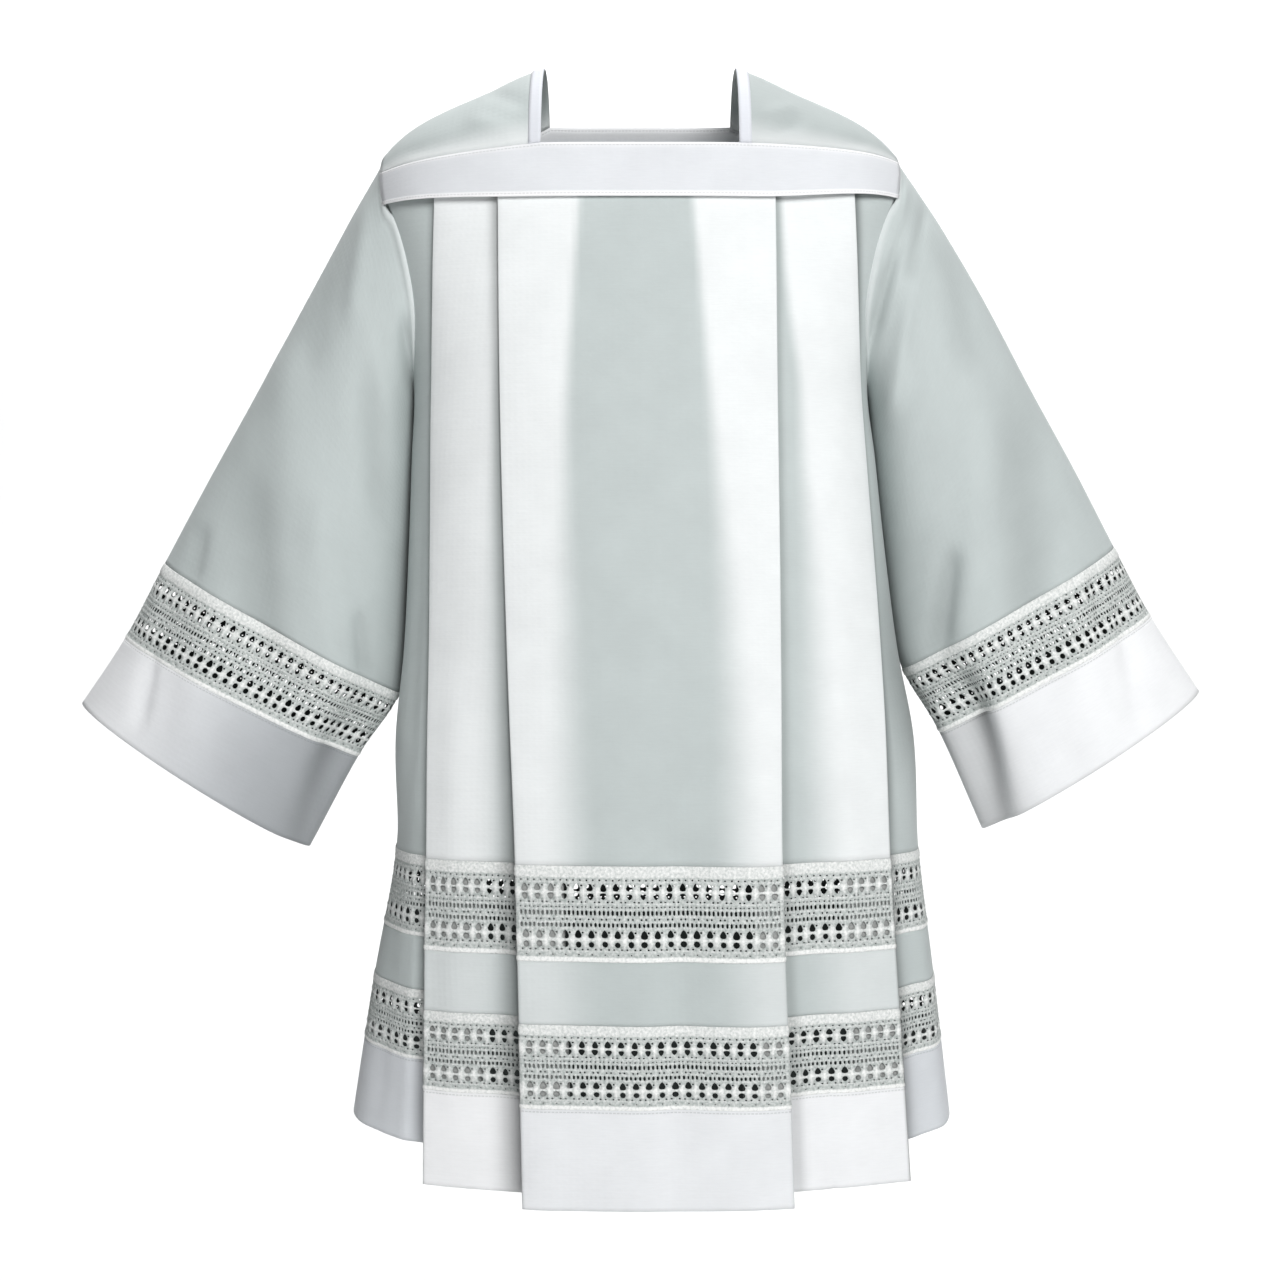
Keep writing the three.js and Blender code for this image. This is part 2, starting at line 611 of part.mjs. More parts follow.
addSkirt('front', -1, ['outer', 'inner'],
  { side: 5, middle: 1, centre: 3 },
  { side: LACE_REPEATS.side, middle: LACE_REPEATS.middle, centre: LACE_REPEATS.centre });
addSkirt('back', 1, ['inner'],
  { side: 7, centre: 3 },
  { side: LACE_REPEATS.backSide, centre: LACE_REPEATS.backCentre });
addPiece('yoke_front', DOUBLED_CLOTH, yokeBand(-1, NECK_FRONT));
addPiece('yoke_back', DOUBLED_CLOTH, yokeBand(1, NECK_BACK));
addShoulder('left', -1);
addShoulder('right', 1);
addSleeve('left', -1);
addSleeve('right', 1);

export default surplice;
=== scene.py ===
# %% [markdown]
# A surplice of fine white cloth.
# A surplice is a wide white tunic that is pulled over the head. This one has a square neck, a flat yoke, a
# front that hangs in knife pleats, bell sleeves, and bands of openwork lace in skirt and sleeves. The frame
# that is loaded here has one thin solid for each piece that a maker would cut. Each gets a finer shell of
# cloth on the same form, made from the same sizes, so that it lands on its solid with no fitting.

# %% Load the frame
import math

import bpy
import numpy as np
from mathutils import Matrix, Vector
from mathutils.geometry import delaunay_2d_cdt


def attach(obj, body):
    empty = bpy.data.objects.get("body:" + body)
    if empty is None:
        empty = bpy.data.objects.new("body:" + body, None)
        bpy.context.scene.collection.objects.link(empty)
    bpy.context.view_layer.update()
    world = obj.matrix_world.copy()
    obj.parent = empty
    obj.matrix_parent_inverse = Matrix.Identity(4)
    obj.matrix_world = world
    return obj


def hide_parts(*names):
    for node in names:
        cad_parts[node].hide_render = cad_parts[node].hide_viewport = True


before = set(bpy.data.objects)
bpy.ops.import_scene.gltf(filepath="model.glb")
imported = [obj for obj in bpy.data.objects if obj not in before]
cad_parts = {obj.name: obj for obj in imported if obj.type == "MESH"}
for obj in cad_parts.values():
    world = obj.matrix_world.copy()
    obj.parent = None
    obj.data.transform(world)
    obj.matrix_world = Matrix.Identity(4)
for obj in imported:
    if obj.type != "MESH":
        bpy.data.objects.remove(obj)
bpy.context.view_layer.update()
MM = 0.001
print("nodes in the frame:", len(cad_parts))

# %% [markdown]
# The cut and the pose.
# Loose cloth takes its shape from how it is cut and from what holds it up. These tables give that shape at
# a few heights, in millimetres, and a smooth curve joins the rows. Left is towards -X, and the front faces
# -Y.

# %% Plan of the body: height, left, right, front, back, squareness, ripple
BODY = [
    (-124, -238, 238, 113, 100, 3.0, 0),
    (-180, -226, 226, 117, 105, 2.9, 0),
    (-230, -213, 213, 119, 108, 2.8, 0),
    (-286, -204, 205, 121, 110, 2.7, 0),
    (-350, -206, 212, 123, 111, 2.65, 0),
    (-434, -209, 221, 125, 113, 2.6, 0),
    (-520, -214, 233, 128, 116, 2.5, 1),
    (-600, -223, 249, 131, 121, 2.5, 3),
    (-700, -225, 254, 134, 129, 2.4, 4),
    (-840, -244, 268, 138, 140, 2.4, 6),
    (-985, -263, 283, 142, 152, 2.3, 8),
]
RIPPLES = 6
PLAN_STEPS = 360

# %% Pleats: height, edges from left to right, and the gaps between layers at the outer and inner pleats
PLEATS = [
    (-124, -178, -122, 116, 186, 1.9, 1.9),
    (-310, -183, -120, 118, 196, 1.9, 1.9),
    (-510, -184, -114, 120, 210, 2.1, 2.4),
    (-700, -185, -106, 119, 217, 5, 4.5),
    (-985, -184, -97, 128, 231, 13, 9),
]
EDGE_COLUMN = {("outer", -1): 1, ("inner", -1): 2, ("inner", 1): 3, ("outer", 1): 4}
GAP_COLUMN = {"outer": 5, "inner": 6}

# %% How far each pleat is folded under: height, and depth from the outer left pleat to the outer right one
PLEAT_DEPTHS = [
    (-124, 55, 65, 62, 52),
    (-310, 55, 52, 48, 56),
    (-510, 54, 46, 34, 54),
    (-700, 52, 39, 24, 46),
    (-985, 47, 38, 25, 41),
]
FOLD_RADIUS = 3
LIFT_START = -690
LIFT = {"seam": 0.18, "front": 0.125, "middle": 0.03, "centre": 0.0}

# %% Heights of the seams round the body
SKIRT_TOP = -121
ARMHOLE_BOTTOM = -286
LACE_UPPER_TOP = -701
STRIP_TOP = -780
LACE_LOWER_TOP = -832
HEM_TOP = -900
HEM_BOTTOM = -981

# %% Yoke, neck and armhole
NECK_HALF_WIDTH = 85
NECK_FRONT = -86
NECK_BACK = -32
YOKE_BOTTOM = -133
YOKE_END_TOP = {-1: -99, 1: -88}
YOKE_END_RISE = {-1: 3, 1: 9}
YOKE_HALF_WIDTH = 222
ARCH_SQUARENESS = 2.2
BINDING_WIDTH = 10
RIDGE = [(0, 2), (85, 0), (140, -23), (200, -51), (232, -78), (250, -108)]
YOKE_OFFSET = [(0, 10.8, 7.0), (128, 10.8, 7.0), (192, 7.2, 4.2), (222, 2.9, 2.9), (240, 2.9, 2.9)]
ARMHOLE_Z = -180
ARMHOLE_HALF_DEPTH = 72
ARMHOLE_HALF_HEIGHT = 106
ARMHOLE_REACH = (170, 236)

# %% Sleeves: ring, upper outer x and z, lower inner x and z, half depth, and depth of the front fold
SLEEVES = {
    "left": [
        (0, -229, -76, -206, -287, 72, 0),
        (1, -262, -133, -206, -330, 73, 0),
        (2, -300, -203, -206, -378, 72, 0),
        (3, -346, -288, -206, -434, 70, 0),
        (4, -392, -371, -209, -500, 69, 2),
        (5, -431, -444, -219, -562, 68, 5),
        (6, -467, -512, -257, -620, 66, 13),
        (7, -506, -571, -301, -702, 64, 5),
    ],
    "right": [
        (0, 229, -76, 209, -287, 72, 0),
        (1, 268, -133, 210, -330, 73, 0),
        (2, 308, -200, 212, -378, 72, 0),
        (3, 352, -283, 218, -430, 70, 0),
        (4, 394, -360, 226, -485, 69, 3),
        (5, 430, -430, 239, -540, 68, 6),
        (6, 463, -492, 273, -598, 66, 22),
        (7, 507, -560, 312, -686, 64, 10),
    ],
}
LACE_RING = 5
CUFF_RING = 6
CUFF_END = 7
SLEEVE_FOLD = {
    "left": [(0, 150), (5, 150), (6, 153), (7, 160)],
    "right": [(0, 140), (5, 140), (6, 146), (7, 158)],
}
SLEEVE_FOLD_HALF_WIDTH = 26
SLEEVE_CLEARANCE = 0.9


# %% [markdown]
# Reading the tables.
# Straight lines between the rows would leave a kink in the cloth at each row. A curve that passes through
# each row with a slope taken from its neighbours has none, and it never strays far from the straight line.

# %% Read a column of a table between its rows
def read_table(rows, at, column):
    table = np.array(rows, dtype=float)
    keys, values = table[:, 0], table[:, column]
    towards = np.sign(keys[1] - keys[0])
    at = np.asarray(at, dtype=float)
    row = np.searchsorted(towards * keys[1:-1], towards * at)
    before = np.maximum(row - 1, 0)
    after = np.minimum(row + 2, len(keys) - 1)
    span = keys[row + 1] - keys[row]
    t = np.clip((at - keys[row]) / span, 0, 1)
    slope_from = (values[row + 1] - values[before]) / (keys[row + 1] - keys[before]) * span
    slope_to = (values[after] - values[row]) / (keys[after] - keys[row]) * span
    rise = values[row + 1] - values[row]
    bend = 3 * rise - 2 * slope_from - slope_to
    return values[row] + t * (slope_from + t * (bend + t * (slope_from + slope_to - 2 * rise)))


def smooth_step(low, high, value):
    share = np.clip((value - low) / (high - low), 0, 1)
    return share * share * (3 - 2 * share)


print("half width of the body at the waist, in mm:", float(read_table(BODY, -400, 2)))


# %% [markdown]
# The plan of the body.
# Seen from above, a worn tunic is an oval with flattened front and back. A superellipse has that outline,
# and its squareness says how flat the sides are. Cloth is measured along its own length, so the plan is
# read by distance from the middle. That keeps pleats, threads and lace evenly spaced right round the body.

# %% Half of the plan, front (-1) or back (1), at one height
class BodyPlan:
    def __init__(self, z, facing):
        self.z = z
        self.facing = facing
        left, right, front, back, self.squareness, self.ripple = (
            float(read_table(BODY, z, column)) for column in range(1, 7))
        self.middle = (left + right) / 2
        self.half_width = (right - left) / 2
        self.depth = front if facing < 0 else back
        turn = np.linspace(0, math.pi / 2, PLAN_STEPS + 1)
        power = self.squareness / 2
        self.angles = np.arctan2(np.sin(turn) ** power, np.maximum(np.cos(turn), 0) ** power)
        x, y = self.at_angle(self.angles, 0)
        self.lengths = np.concatenate([[0], np.cumsum(np.hypot(np.diff(x), np.diff(y)))])
        self.half = self.lengths[-1]

    def at_angle(self, angle, offset):
        n = self.squareness
        across = np.sign(angle) * np.abs(np.sin(angle)) ** (2 / n)
        forward = np.abs(np.cos(angle)) ** (2 / n)
        normal_x = np.sign(across) * np.abs(across) ** (n - 1) / self.half_width
        normal_y = self.facing * forward ** (n - 1) / self.depth
        length = np.hypot(normal_x, normal_y)
        share = np.sin(angle) ** 2 if self.facing < 0 else 1
        out = offset + self.ripple * share * np.cos(RIPPLES * angle)
        x = self.middle + self.half_width * across + out * normal_x / length
        y = self.facing * self.depth * forward + out * normal_y / length
        return x, y

    def at_place(self, place, offset):
        angle = np.interp(np.abs(place), self.lengths, self.angles)
        return self.at_angle(np.sign(place) * angle, offset)

    def place_at_x(self, x, offset):
        places = np.linspace(-self.half, self.half, 2 * PLAN_STEPS + 1)
        return np.interp(x, self.at_place(places, offset)[0], places)

    def side_edge(self, side):
        up = (self.z - ARMHOLE_Z) / ARMHOLE_HALF_HEIGHT
        rim = ARMHOLE_HALF_DEPTH * math.sqrt(max(0, 1 - up * up))
        places = np.linspace(0, self.half, PLAN_STEPS + 1)
        depth = np.abs(self.at_place(side * places, 0)[1])
        return side * float(np.interp(-rim, -depth, places))


print("cloth round the front half at the hem, in mm:", round(2 * BodyPlan(HEM_BOTTOM, -1).half))

# %% [markdown]
# Creases.
# Real creases start somewhere, run a while and die away, and no two are alike. Each is a row of its own
# here: where it starts and ends in x and z, how wide it is, and how far it stands out or, with a minus,
# sinks in. They could come from a cloth simulation, but a pressed garment hangs in quiet folds whose places
# the photograph gives.

# %% Creases in the front of the skirt and in its back
FRONT_CREASES = [
    (4, -690, -4, -1010, 24, 2.6),
    (36, -640, 30, -1010, 18, -3.4),
    (92, -500, 100, -1010, 38, 8.0),
    (-66, -520, -60, -930, 26, -1.8),
    (-84, -860, -80, -1010, 16, 1.6),
    (58, -300, 66, -640, 30, -1.2),
    (-30, -240, -36, -600, 34, 1.0),
    (-161, -470, -158, -1010, 13, 2.2),
    (-124, -560, -120, -1010, 14, -2.6),
    (172, -420, 184, -1010, 15, 2.4),
    (142, -560, 150, -1010, 12, -2.2),
    (160, -735, 161, -850, 2.6, -2.4),
    (161, -860, 163, -1010, 3.4, -1.6),
    (-190, -320, -204, -680, 7, -2.2),
    (-204, -560, -236, -1010, 10, -3.6),
    (-190, -720, -206, -1010, 8, 3.0),
    (226, -640, 252, -1010, 10, -3.4),
    (240, -700, 272, -1010, 8, 2.6),
]
BACK_CREASES = [
    (-20, -420, -28, -1010, 26, 2.4),
    (22, -560, 20, -1010, 20, -3.0),
    (74, -640, 80, -1010, 18, 2.4),
    (-78, -700, -70, -1010, 17, -2.4),
    (-150, -300, -168, -760, 16, -2.6),
    (-186, -520, -206, -1010, 13, 3.4),
    (-136, -620, -150, -1010, 12, 2.4),
    (160, -340, 176, -820, 15, -2.8),
    (198, -480, 222, -1010, 14, 3.2),
    (148, -700, 156, -1010, 12, -2.2),
    (-40, -180, -70, -300, 12, -1.0),
    (52, -170, 84, -330, 14, -1.2),
]


# %% Height of the creases at each point
CREASE_FADE = 0.3


def crease_height(x, z, creases):
    height = np.zeros(np.broadcast(x, z).shape)
    for x0, z0, x1, z1, half_width, rise in creases:
        run_x, run_z = x1 - x0, z1 - z0
        length = math.hypot(run_x, run_z)
        along = ((x - x0) * run_x + (z - z0) * run_z) / length ** 2
        aside = ((x - x0) * run_z - (z - z0) * run_x) / length
        fade = smooth_step(0, CREASE_FADE, np.minimum(along, 1 - along))
        height += rise * fade * np.exp(-(aside / half_width) ** 2)
    return height


print("creases in the skirt:", len(FRONT_CREASES) + len(BACK_CREASES))

# %% [markdown]
# The path of the pleated cloth.
# A knife pleat is cloth folded under and back again, so three layers lie over each other. One strip of
# cloth runs the whole way: flat, under, round a hidden fold, back, round the edge that shows, and on.
# Following that one path gives real pleats, with real edges and a real gap at the hem. Drawing lines on a
# flat front would show none of it.

# %% Columns of points along the flats and folds
FLAT_COLUMNS = {"side": 30, "middle": 22, "centre": 54}
CROWDING = 1.6
FOLD_TURN = np.linspace(0, math.pi, 6)
HIDDEN_SHARES = np.linspace(0, 1, 12)[1:-1]
LAYER_CLEARANCE = 1.6
# The underlay's wrong side, seen through the lace, takes deeper painted shade.
UNDERLAY_SHADE = 1.6
FAR = 1e6

# %% Painted shade beside each pleat: width in mm at the top and at the hem, depth, and depth on the edge
CROOK_SHADE = {
    ("outer", -1): (5, 8, 0.35, 0.2),
    ("inner", -1): (6, 13, 0.50, 0.2),
    ("inner", 1): (4, 6, 0.30, 0.2),
    ("outer", 1): (6, 10, 0.62, 0.8),
}
OVERHANG = 0.9

# %% Painted shade where the body's side lies close to the sleeve: height, depth and width in mm, left and right
SEAM_SHADE = [
    (-124, 0.06, 30, 0.00, 30),
    (-380, 0.07, 60, 0.12, 60),
    (-470, 0.08, 70, 0.34, 90),
    (-560, 0.12, 80, 0.58, 90),
    (-640, 0.24, 80, 0.58, 56),
    (-700, 0.38, 76, 0.20, 44),
    (-840, 0.50, 66, 0.14, 44),
    (-985, 0.40, 60, 0.10, 44),
]
SEAM_SHADE_COLUMNS = {-1: (1, 2), 1: (3, 4)}


def pleat_path(gap, depth):
    radius = min(gap / 2, FOLD_RADIUS)
    hidden = depth - radius
    turned = (1 - np.cos(FOLD_TURN)) / 2
    distance = np.concatenate([
        hidden * HIDDEN_SHARES, hidden + radius * np.sin(FOLD_TURN),
        hidden + (radius - hidden) * HIDDEN_SHARES, radius - radius * np.sin(FOLD_TURN)])
    none = np.zeros(len(HIDDEN_SHARES))
    layer = np.concatenate([none, turned, none + 1, 1 + turned])
    return distance, layer, radius


# %% One half of the path at one height, from the side seam to the innermost pleat
def skirt_half(plan, side, pleats):
    place, level, lift, distance_in, wrong, shade = [], [], [], [], [], []
    edge_lift = LIFT["middle"] if plan.facing > 0 else LIFT["front"]
    stops = []
    start, lower = plan.side_edge(side), 0.0
    count = 0
    for order, pleat in enumerate(pleats):
        gap = float(read_table(PLEATS, plan.z, GAP_COLUMN[pleat]))
        upper = lower + 2 * gap
        edge_x = float(read_table(PLEATS, plan.z, EDGE_COLUMN[pleat, side]))
        edge = float(plan.place_at_x(edge_x, upper))
        stretch = "side" if order == 0 else "middle"
        lift_from = LIFT["seam"] if order == 0 else LIFT["middle"]
        lift_to = edge_lift if order == 0 else LIFT["middle"]
        next_lift = LIFT["centre"] if pleat == "inner" else LIFT["middle"]
        shared = min(order, 1)
        share = (1 - np.linspace(1, 0, FLAT_COLUMNS[stretch] + 1) ** CROWDING)[shared:]
        flat = start + (edge - start) * share
        place.append(flat)
        level.append(np.full(len(share), lower))
        lift.append(lift_from + (lift_to - lift_from) * smooth_step(0, 1, share))
        top_width, hem_width, depth, edge_depth = CROOK_SHADE[pleat, side]
        width = top_width + (hem_width - top_width) * smooth_step(SKIRT_TOP, HEM_BOTTOM, plan.z)
        beside = np.maximum(0, np.abs(flat - edge) - OVERHANG * gap)
        crook_shade = depth * np.exp(-(beside / width) ** 2)
        if order == 0:
            depth_column, width_column = SEAM_SHADE_COLUMNS[side]
            seam_depth = float(read_table(SEAM_SHADE, plan.z, depth_column))
            seam_width = float(read_table(SEAM_SHADE, plan.z, width_column))
            crook_shade = np.maximum(crook_shade, seam_depth * np.exp(-((flat - start) / seam_width) ** 2))
        shade.append(crook_shade)
        distance_in.append(np.abs(flat - start) if order else np.full(len(share), FAR))
        wrong.append(np.ones(len(share)))
        stops.append((count - shared, count - shared + FLAT_COLUMNS[stretch]))
        pleat_depth = float(read_table(PLEAT_DEPTHS, plan.z, EDGE_COLUMN[pleat, side]))
        distance, layer, radius = pleat_path(gap, pleat_depth)
        middle = max(gap, 2 * gap - LAYER_CLEARANCE)
        place.append(edge - side * distance)
        level.append(lower + np.interp(layer, [0, 1, 2], [0, middle, 2 * gap]))
        lift.append(lift_to + (next_lift - lift_to) * np.clip(layer, 0, 1))
        distance_in.append(np.zeros(len(distance)))
        wrong.append(np.where(np.abs(layer - 1) < 0.5, UNDERLAY_SHADE, 1))
        # A painted dark line along the pleat's turned edge.
        shade.append(edge_depth * np.sin(math.pi * np.clip(layer - 1, 0, 1)))
        count += len(share) + len(distance)
        start, lower = edge - side * radius, upper
    return [np.concatenate(part) for part in (place, level, lift, distance_in, wrong, shade)], stops, start


# %% The whole path at one height
def skirt_row(z, facing, pleats):
    plan = BodyPlan(z, facing)
    left, left_stops, left_end = skirt_half(plan, -1, pleats)
    right, right_stops, right_end = skirt_half(plan, 1, pleats)
    share = np.linspace(0, 1, FLAT_COLUMNS["centre"] + 1)
    centre_place = left_end + (right_end - left_end) * share
    centre = [centre_place[1:-1], np.full(len(share) - 2, left[1][-1]), np.zeros(len(share) - 2)]
    place, level, lift = (np.concatenate([left[k], centre[k], right[k][::-1]]) for k in range(3))
    distances = np.full((4, len(place)), FAR)
    left_count, right_count = len(left[0]), len(right[0])
    distances[0, :left_count] = left[3]
    distances[1, left_count:-right_count] = np.abs(centre_place - left_end)[1:-1]
    distances[2, left_count:-right_count] = np.abs(centre_place - right_end)[1:-1]
    distances[3, -right_count:] = right[3][::-1]
    wrong = np.concatenate([left[4], np.ones(len(share) - 2), right[4][::-1]])
    crook_shade = np.concatenate([left[5], np.zeros(len(share) - 2), right[5][::-1]])
    total = len(place)
    first = len(left[0]) - 1
    stops = left_stops + [(first, first + FLAT_COLUMNS["centre"])]
    stops += [(total - 1 - b, total - 1 - a) for a, b in reversed(right_stops)]
    creases = FRONT_CREASES if facing < 0 else BACK_CREASES
    x, _ = plan.at_place(place, level)
    height_z = z + lift * max(0, LIFT_START - z)
    level = level + crease_height(x, height_z, creases)
    x, y = plan.at_place(place, level)
    return np.stack([x, y, height_z], axis=1), distances, wrong, crook_shade, stops


# %% [markdown]
# Where the cloth is backed.
# Fine cloth is a little see-through. Where a pleat lies under it, it looks whiter, with a soft edge, and
# where it is single it looks cooler and greyer. Each point of the cloth carries a number from 0, single, to
# 1, backed. The white band beside a pleat's edge is as wide as the pleat is deep.

# %% Softness of the bands' edges in mm: height, softness
BAND_SOFTNESS = [(-120, 4), (-330, 9), (-520, 20), (-700, 26), (-985, 28)]
BAND_EXTRA = {1: 12, 2: 4, 3: 8, 4: 14}


def backed_share(z, distances):
    soft = float(read_table(BAND_SOFTNESS, z, 1))
    share = np.zeros(distances.shape[1])
    for column, distance in enumerate(distances, start=1):
        width = float(read_table(PLEAT_DEPTHS, z, column)) + BAND_EXTRA[column]
        share = np.maximum(share, 1 - smooth_step(width - soft, width + soft, distance))
    return share


# %% Painted shade of the wrong side: deepest at the back, level with the lace
WRONG_SIDE_SHADE = 0.35
DEEP_FROM = (HEM_BOTTOM - 25, HEM_BOTTOM + 12)
DEEP_TO = (-640, -560)


def hollow_shade(facing, z):
    if facing < 0:
        return WRONG_SIDE_SHADE
    deep = smooth_step(*DEEP_FROM, z) * (1 - smooth_step(*DEEP_TO, z))
    return WRONG_SIDE_SHADE + (1 - WRONG_SIDE_SHADE) * deep


# %% A grid of points for a band of the skirt
def skirt_grid(facing, heights):
    pleats = ["outer", "inner"] if facing < 0 else ["inner"]
    points, backing, painted_shade, crook_shades = [], [], [], []
    for z in heights:
        row, distances, wrong, crook_shade, stops = skirt_row(z, facing, pleats)
        points.append(row)
        backing.append(backed_share(z, distances))
        painted_shade.append(np.minimum(1, wrong * hollow_shade(facing, z)))
        crook_shades.append(crook_shade)
    return np.array(points), np.array(backing), np.array([crook_shades, painted_shade]), stops


def heights_between(top, bottom, step):
    return np.linspace(top, bottom, max(2, round((top - bottom) / step) + 1))


ROW_STEP = 6
armhole_turn = np.linspace(math.asin((ARMHOLE_Z - SKIRT_TOP) / ARMHOLE_HALF_HEIGHT), math.pi / 2, 22)
PANEL_HEIGHTS = np.concatenate([
    ARMHOLE_Z - ARMHOLE_HALF_HEIGHT * np.sin(armhole_turn),
    heights_between(ARMHOLE_BOTTOM, LACE_UPPER_TOP, ROW_STEP)[1:]])
print("rows of points in a panel:", len(PANEL_HEIGHTS))


# %% [markdown]
# Cloth on the right scale.
# Each mesh carries a map of its own cloth in metres, u along the row and v down it. The weave is drawn on
# that map, so it turns with the cloth through every fold. Distances are added up from point to point along
# the mesh.

# %% Lengths of the rows and columns of a grid in mm, and its mean size in metres
def row_lengths(points):
    return np.linalg.norm(np.diff(points, axis=1), axis=2).sum(axis=1)


def column_lengths(points):
    return np.linalg.norm(np.diff(points, axis=0), axis=2).sum(axis=0)


def mean_size(points):
    return row_lengths(points).mean() * MM, column_lengths(points).mean() * MM


# %% Distance along the rows and down the columns of a grid
def cloth_map(points):
    along = np.linalg.norm(np.diff(points, axis=1), axis=2)
    down = np.linalg.norm(np.diff(points, axis=0), axis=2)
    u = np.concatenate([np.zeros((len(points), 1)), np.cumsum(along, axis=1)], axis=1)
    u -= u[:, u.shape[1] // 2][:, None]
    v = np.concatenate([np.zeros((1, points.shape[1])), np.cumsum(down, axis=0)], axis=0)
    return np.stack([u, np.broadcast_to(v.mean(axis=1)[:, None], u.shape)], axis=2) * MM


def grid_normals(points):
    along = np.gradient(points, axis=1)
    down = np.gradient(points, axis=0)
    normals = np.cross(down, along)
    return normals / np.maximum(np.linalg.norm(normals, axis=2, keepdims=True), 1e-9)


# %% [markdown]
# A shell of cloth.
# Cloth has a right side and a wrong side. A solidify modifier would give it its thickness, but both sides
# would then carry the same numbers. Here the two skins are made in code, so that each carries its own
# painted
# shade: the wrong side is painted dark for the shade of the hollow, and the right side darker beside pleats
# and seams, in creases and towards the body. Open edges are closed with a narrow rim.

# %% Which way a sheet faces, and its open edges
def point_normals(points, faces):
    sheet = bpy.data.meshes.new("sheet")
    sheet.from_pydata(points.tolist(), [], faces)
    normals = np.empty(len(points) * 3, dtype=np.float32)
    sheet.vertex_normals.foreach_get("vector", normals)
    bpy.data.meshes.remove(sheet)
    return normals.reshape(-1, 3)


def open_edges(faces):
    edges = np.array([edge for face in faces for edge in zip(face, face[1:] + face[:1])])
    _, index, count = np.unique(np.sort(edges, axis=1), axis=0, return_index=True, return_counts=True)
    return edges[index[count == 1]]


# %% Turn points and faces into a shell of cloth
def make_shell(name, points, faces, uv, backing, thickness, material, inside, shade):
    normals = point_normals(points, faces)
    if np.sum(normals * (points - inside)) < 0:
        faces = [face[::-1] for face in faces]
        normals = -normals
    count = len(points)
    skins = np.concatenate([points + normals * thickness / 2, points - normals * thickness / 2])
    rims = [[b, a, a + count, b + count] for a, b in open_edges(faces).tolist()]
    under = [[corner + count for corner in reversed(face)] for face in faces]
    mesh = bpy.data.meshes.new(name)
    mesh.from_pydata((skins * MM).tolist(), [], faces + under + rims)
    smooth = np.arange(len(mesh.polygons)) < 2 * len(faces)
    mesh.polygons.foreach_set("use_smooth", smooth)
    corners = np.empty(len(mesh.loops), dtype=np.int32)
    mesh.loops.foreach_get("vertex_index", corners)
    cloth_uv = mesh.uv_layers.new(name="cloth")
    cloth_uv.data.foreach_set("uv", uv[corners % count].astype(np.float32).ravel())
    shaded = np.concatenate([np.broadcast_to(side, count) for side in shade])
    for layer_name, values in (("backing", np.tile(backing, 2)), ("shade", shaded)):
        layer = mesh.attributes.new(layer_name, "FLOAT", "POINT")
        layer.data.foreach_set("value", values.astype(np.float32))
    mesh.materials.append(material)
    mesh.update()
    piece = bpy.data.objects.new(name, mesh)
    bpy.context.scene.collection.objects.link(piece)
    return piece


def grid_faces(rows, columns):
    row, column = np.meshgrid(np.arange(rows - 1), np.arange(columns - 1), indexing="ij")
    here = (row * columns + column).ravel()
    return np.stack([here, here + columns, here + columns + 1, here + 1], axis=1).tolist()


def grid_shell(name, points, backing, thickness, material, inside, shade):
    faces = grid_faces(*points.shape[:2])
    backing, *shade = (np.broadcast_to(values, points.shape[:2]).ravel() for values in (backing, *shade))
    return make_shell(name, points.reshape(-1, 3), faces, cloth_map(points).reshape(-1, 2),
                      backing, thickness, material, inside, shade)


# %% [markdown]
# Materials.
# The cloth is a cotton and polyester poplin, woven plain and pressed. It is matt, with a faint sheen from
# the ends of its fibres, and its threads are about 0.2 mm apart. That is far too fine to show here, so the
# weave is drawn coarse, as a faint ripple every 5.65 mm. Slubs, the thicker stretches of thread, run across
# it as faint streaks about a centimetre long, and a slow change of tone as wide as a palm keeps the cloth
# from looking flat.

# %% Colours as the eye sees them, and a helper that adds a node
def linear(hex_colour):
    channels = [int(hex_colour[i:i + 2], 16) / 255 for i in (1, 3, 5)]
    return (*[c / 12.92 if c <= 0.04045 else ((c + 0.055) / 1.055) ** 2.4 for c in channels], 1)


def add_node(tree, kind, settings=None, inputs=None):
    node = tree.nodes.new(kind)
    for key, value in (settings or {}).items():
        setattr(node, key, value)
    for key, value in (inputs or {}).items():
        if isinstance(value, bpy.types.NodeSocket):
            tree.links.new(value, node.inputs[key])
        else:
            node.inputs[key].default_value = value
    return node


# %% Plain woven cloth: sizes in mm, and how far slubs and clouds change the tone
WEAVE_PITCH = 5.65
WAVE_TURN = 20
SLUB_LENGTH = 12
SLUB_WIDTH = 1.2
SLUB_TONE = (0.975, 1.015)
SLUB_RELIEF = 0.6
CLOUD_SIZE = 46
CLOUD_TONE = (0.965, 1.02)
WEAVE_DEPTH = 0.2
STITCH_DEPTH = 0.5
STITCH_LENGTH = 3.2
STITCH_SHARE = 0.72
STITCH_SHADE = 0.22
THREAD_CORE = 0.2
THREAD_WIDTH = 0.6
COTTON_IOR = 1.46
COTTON_ROUGHNESS = 0.82


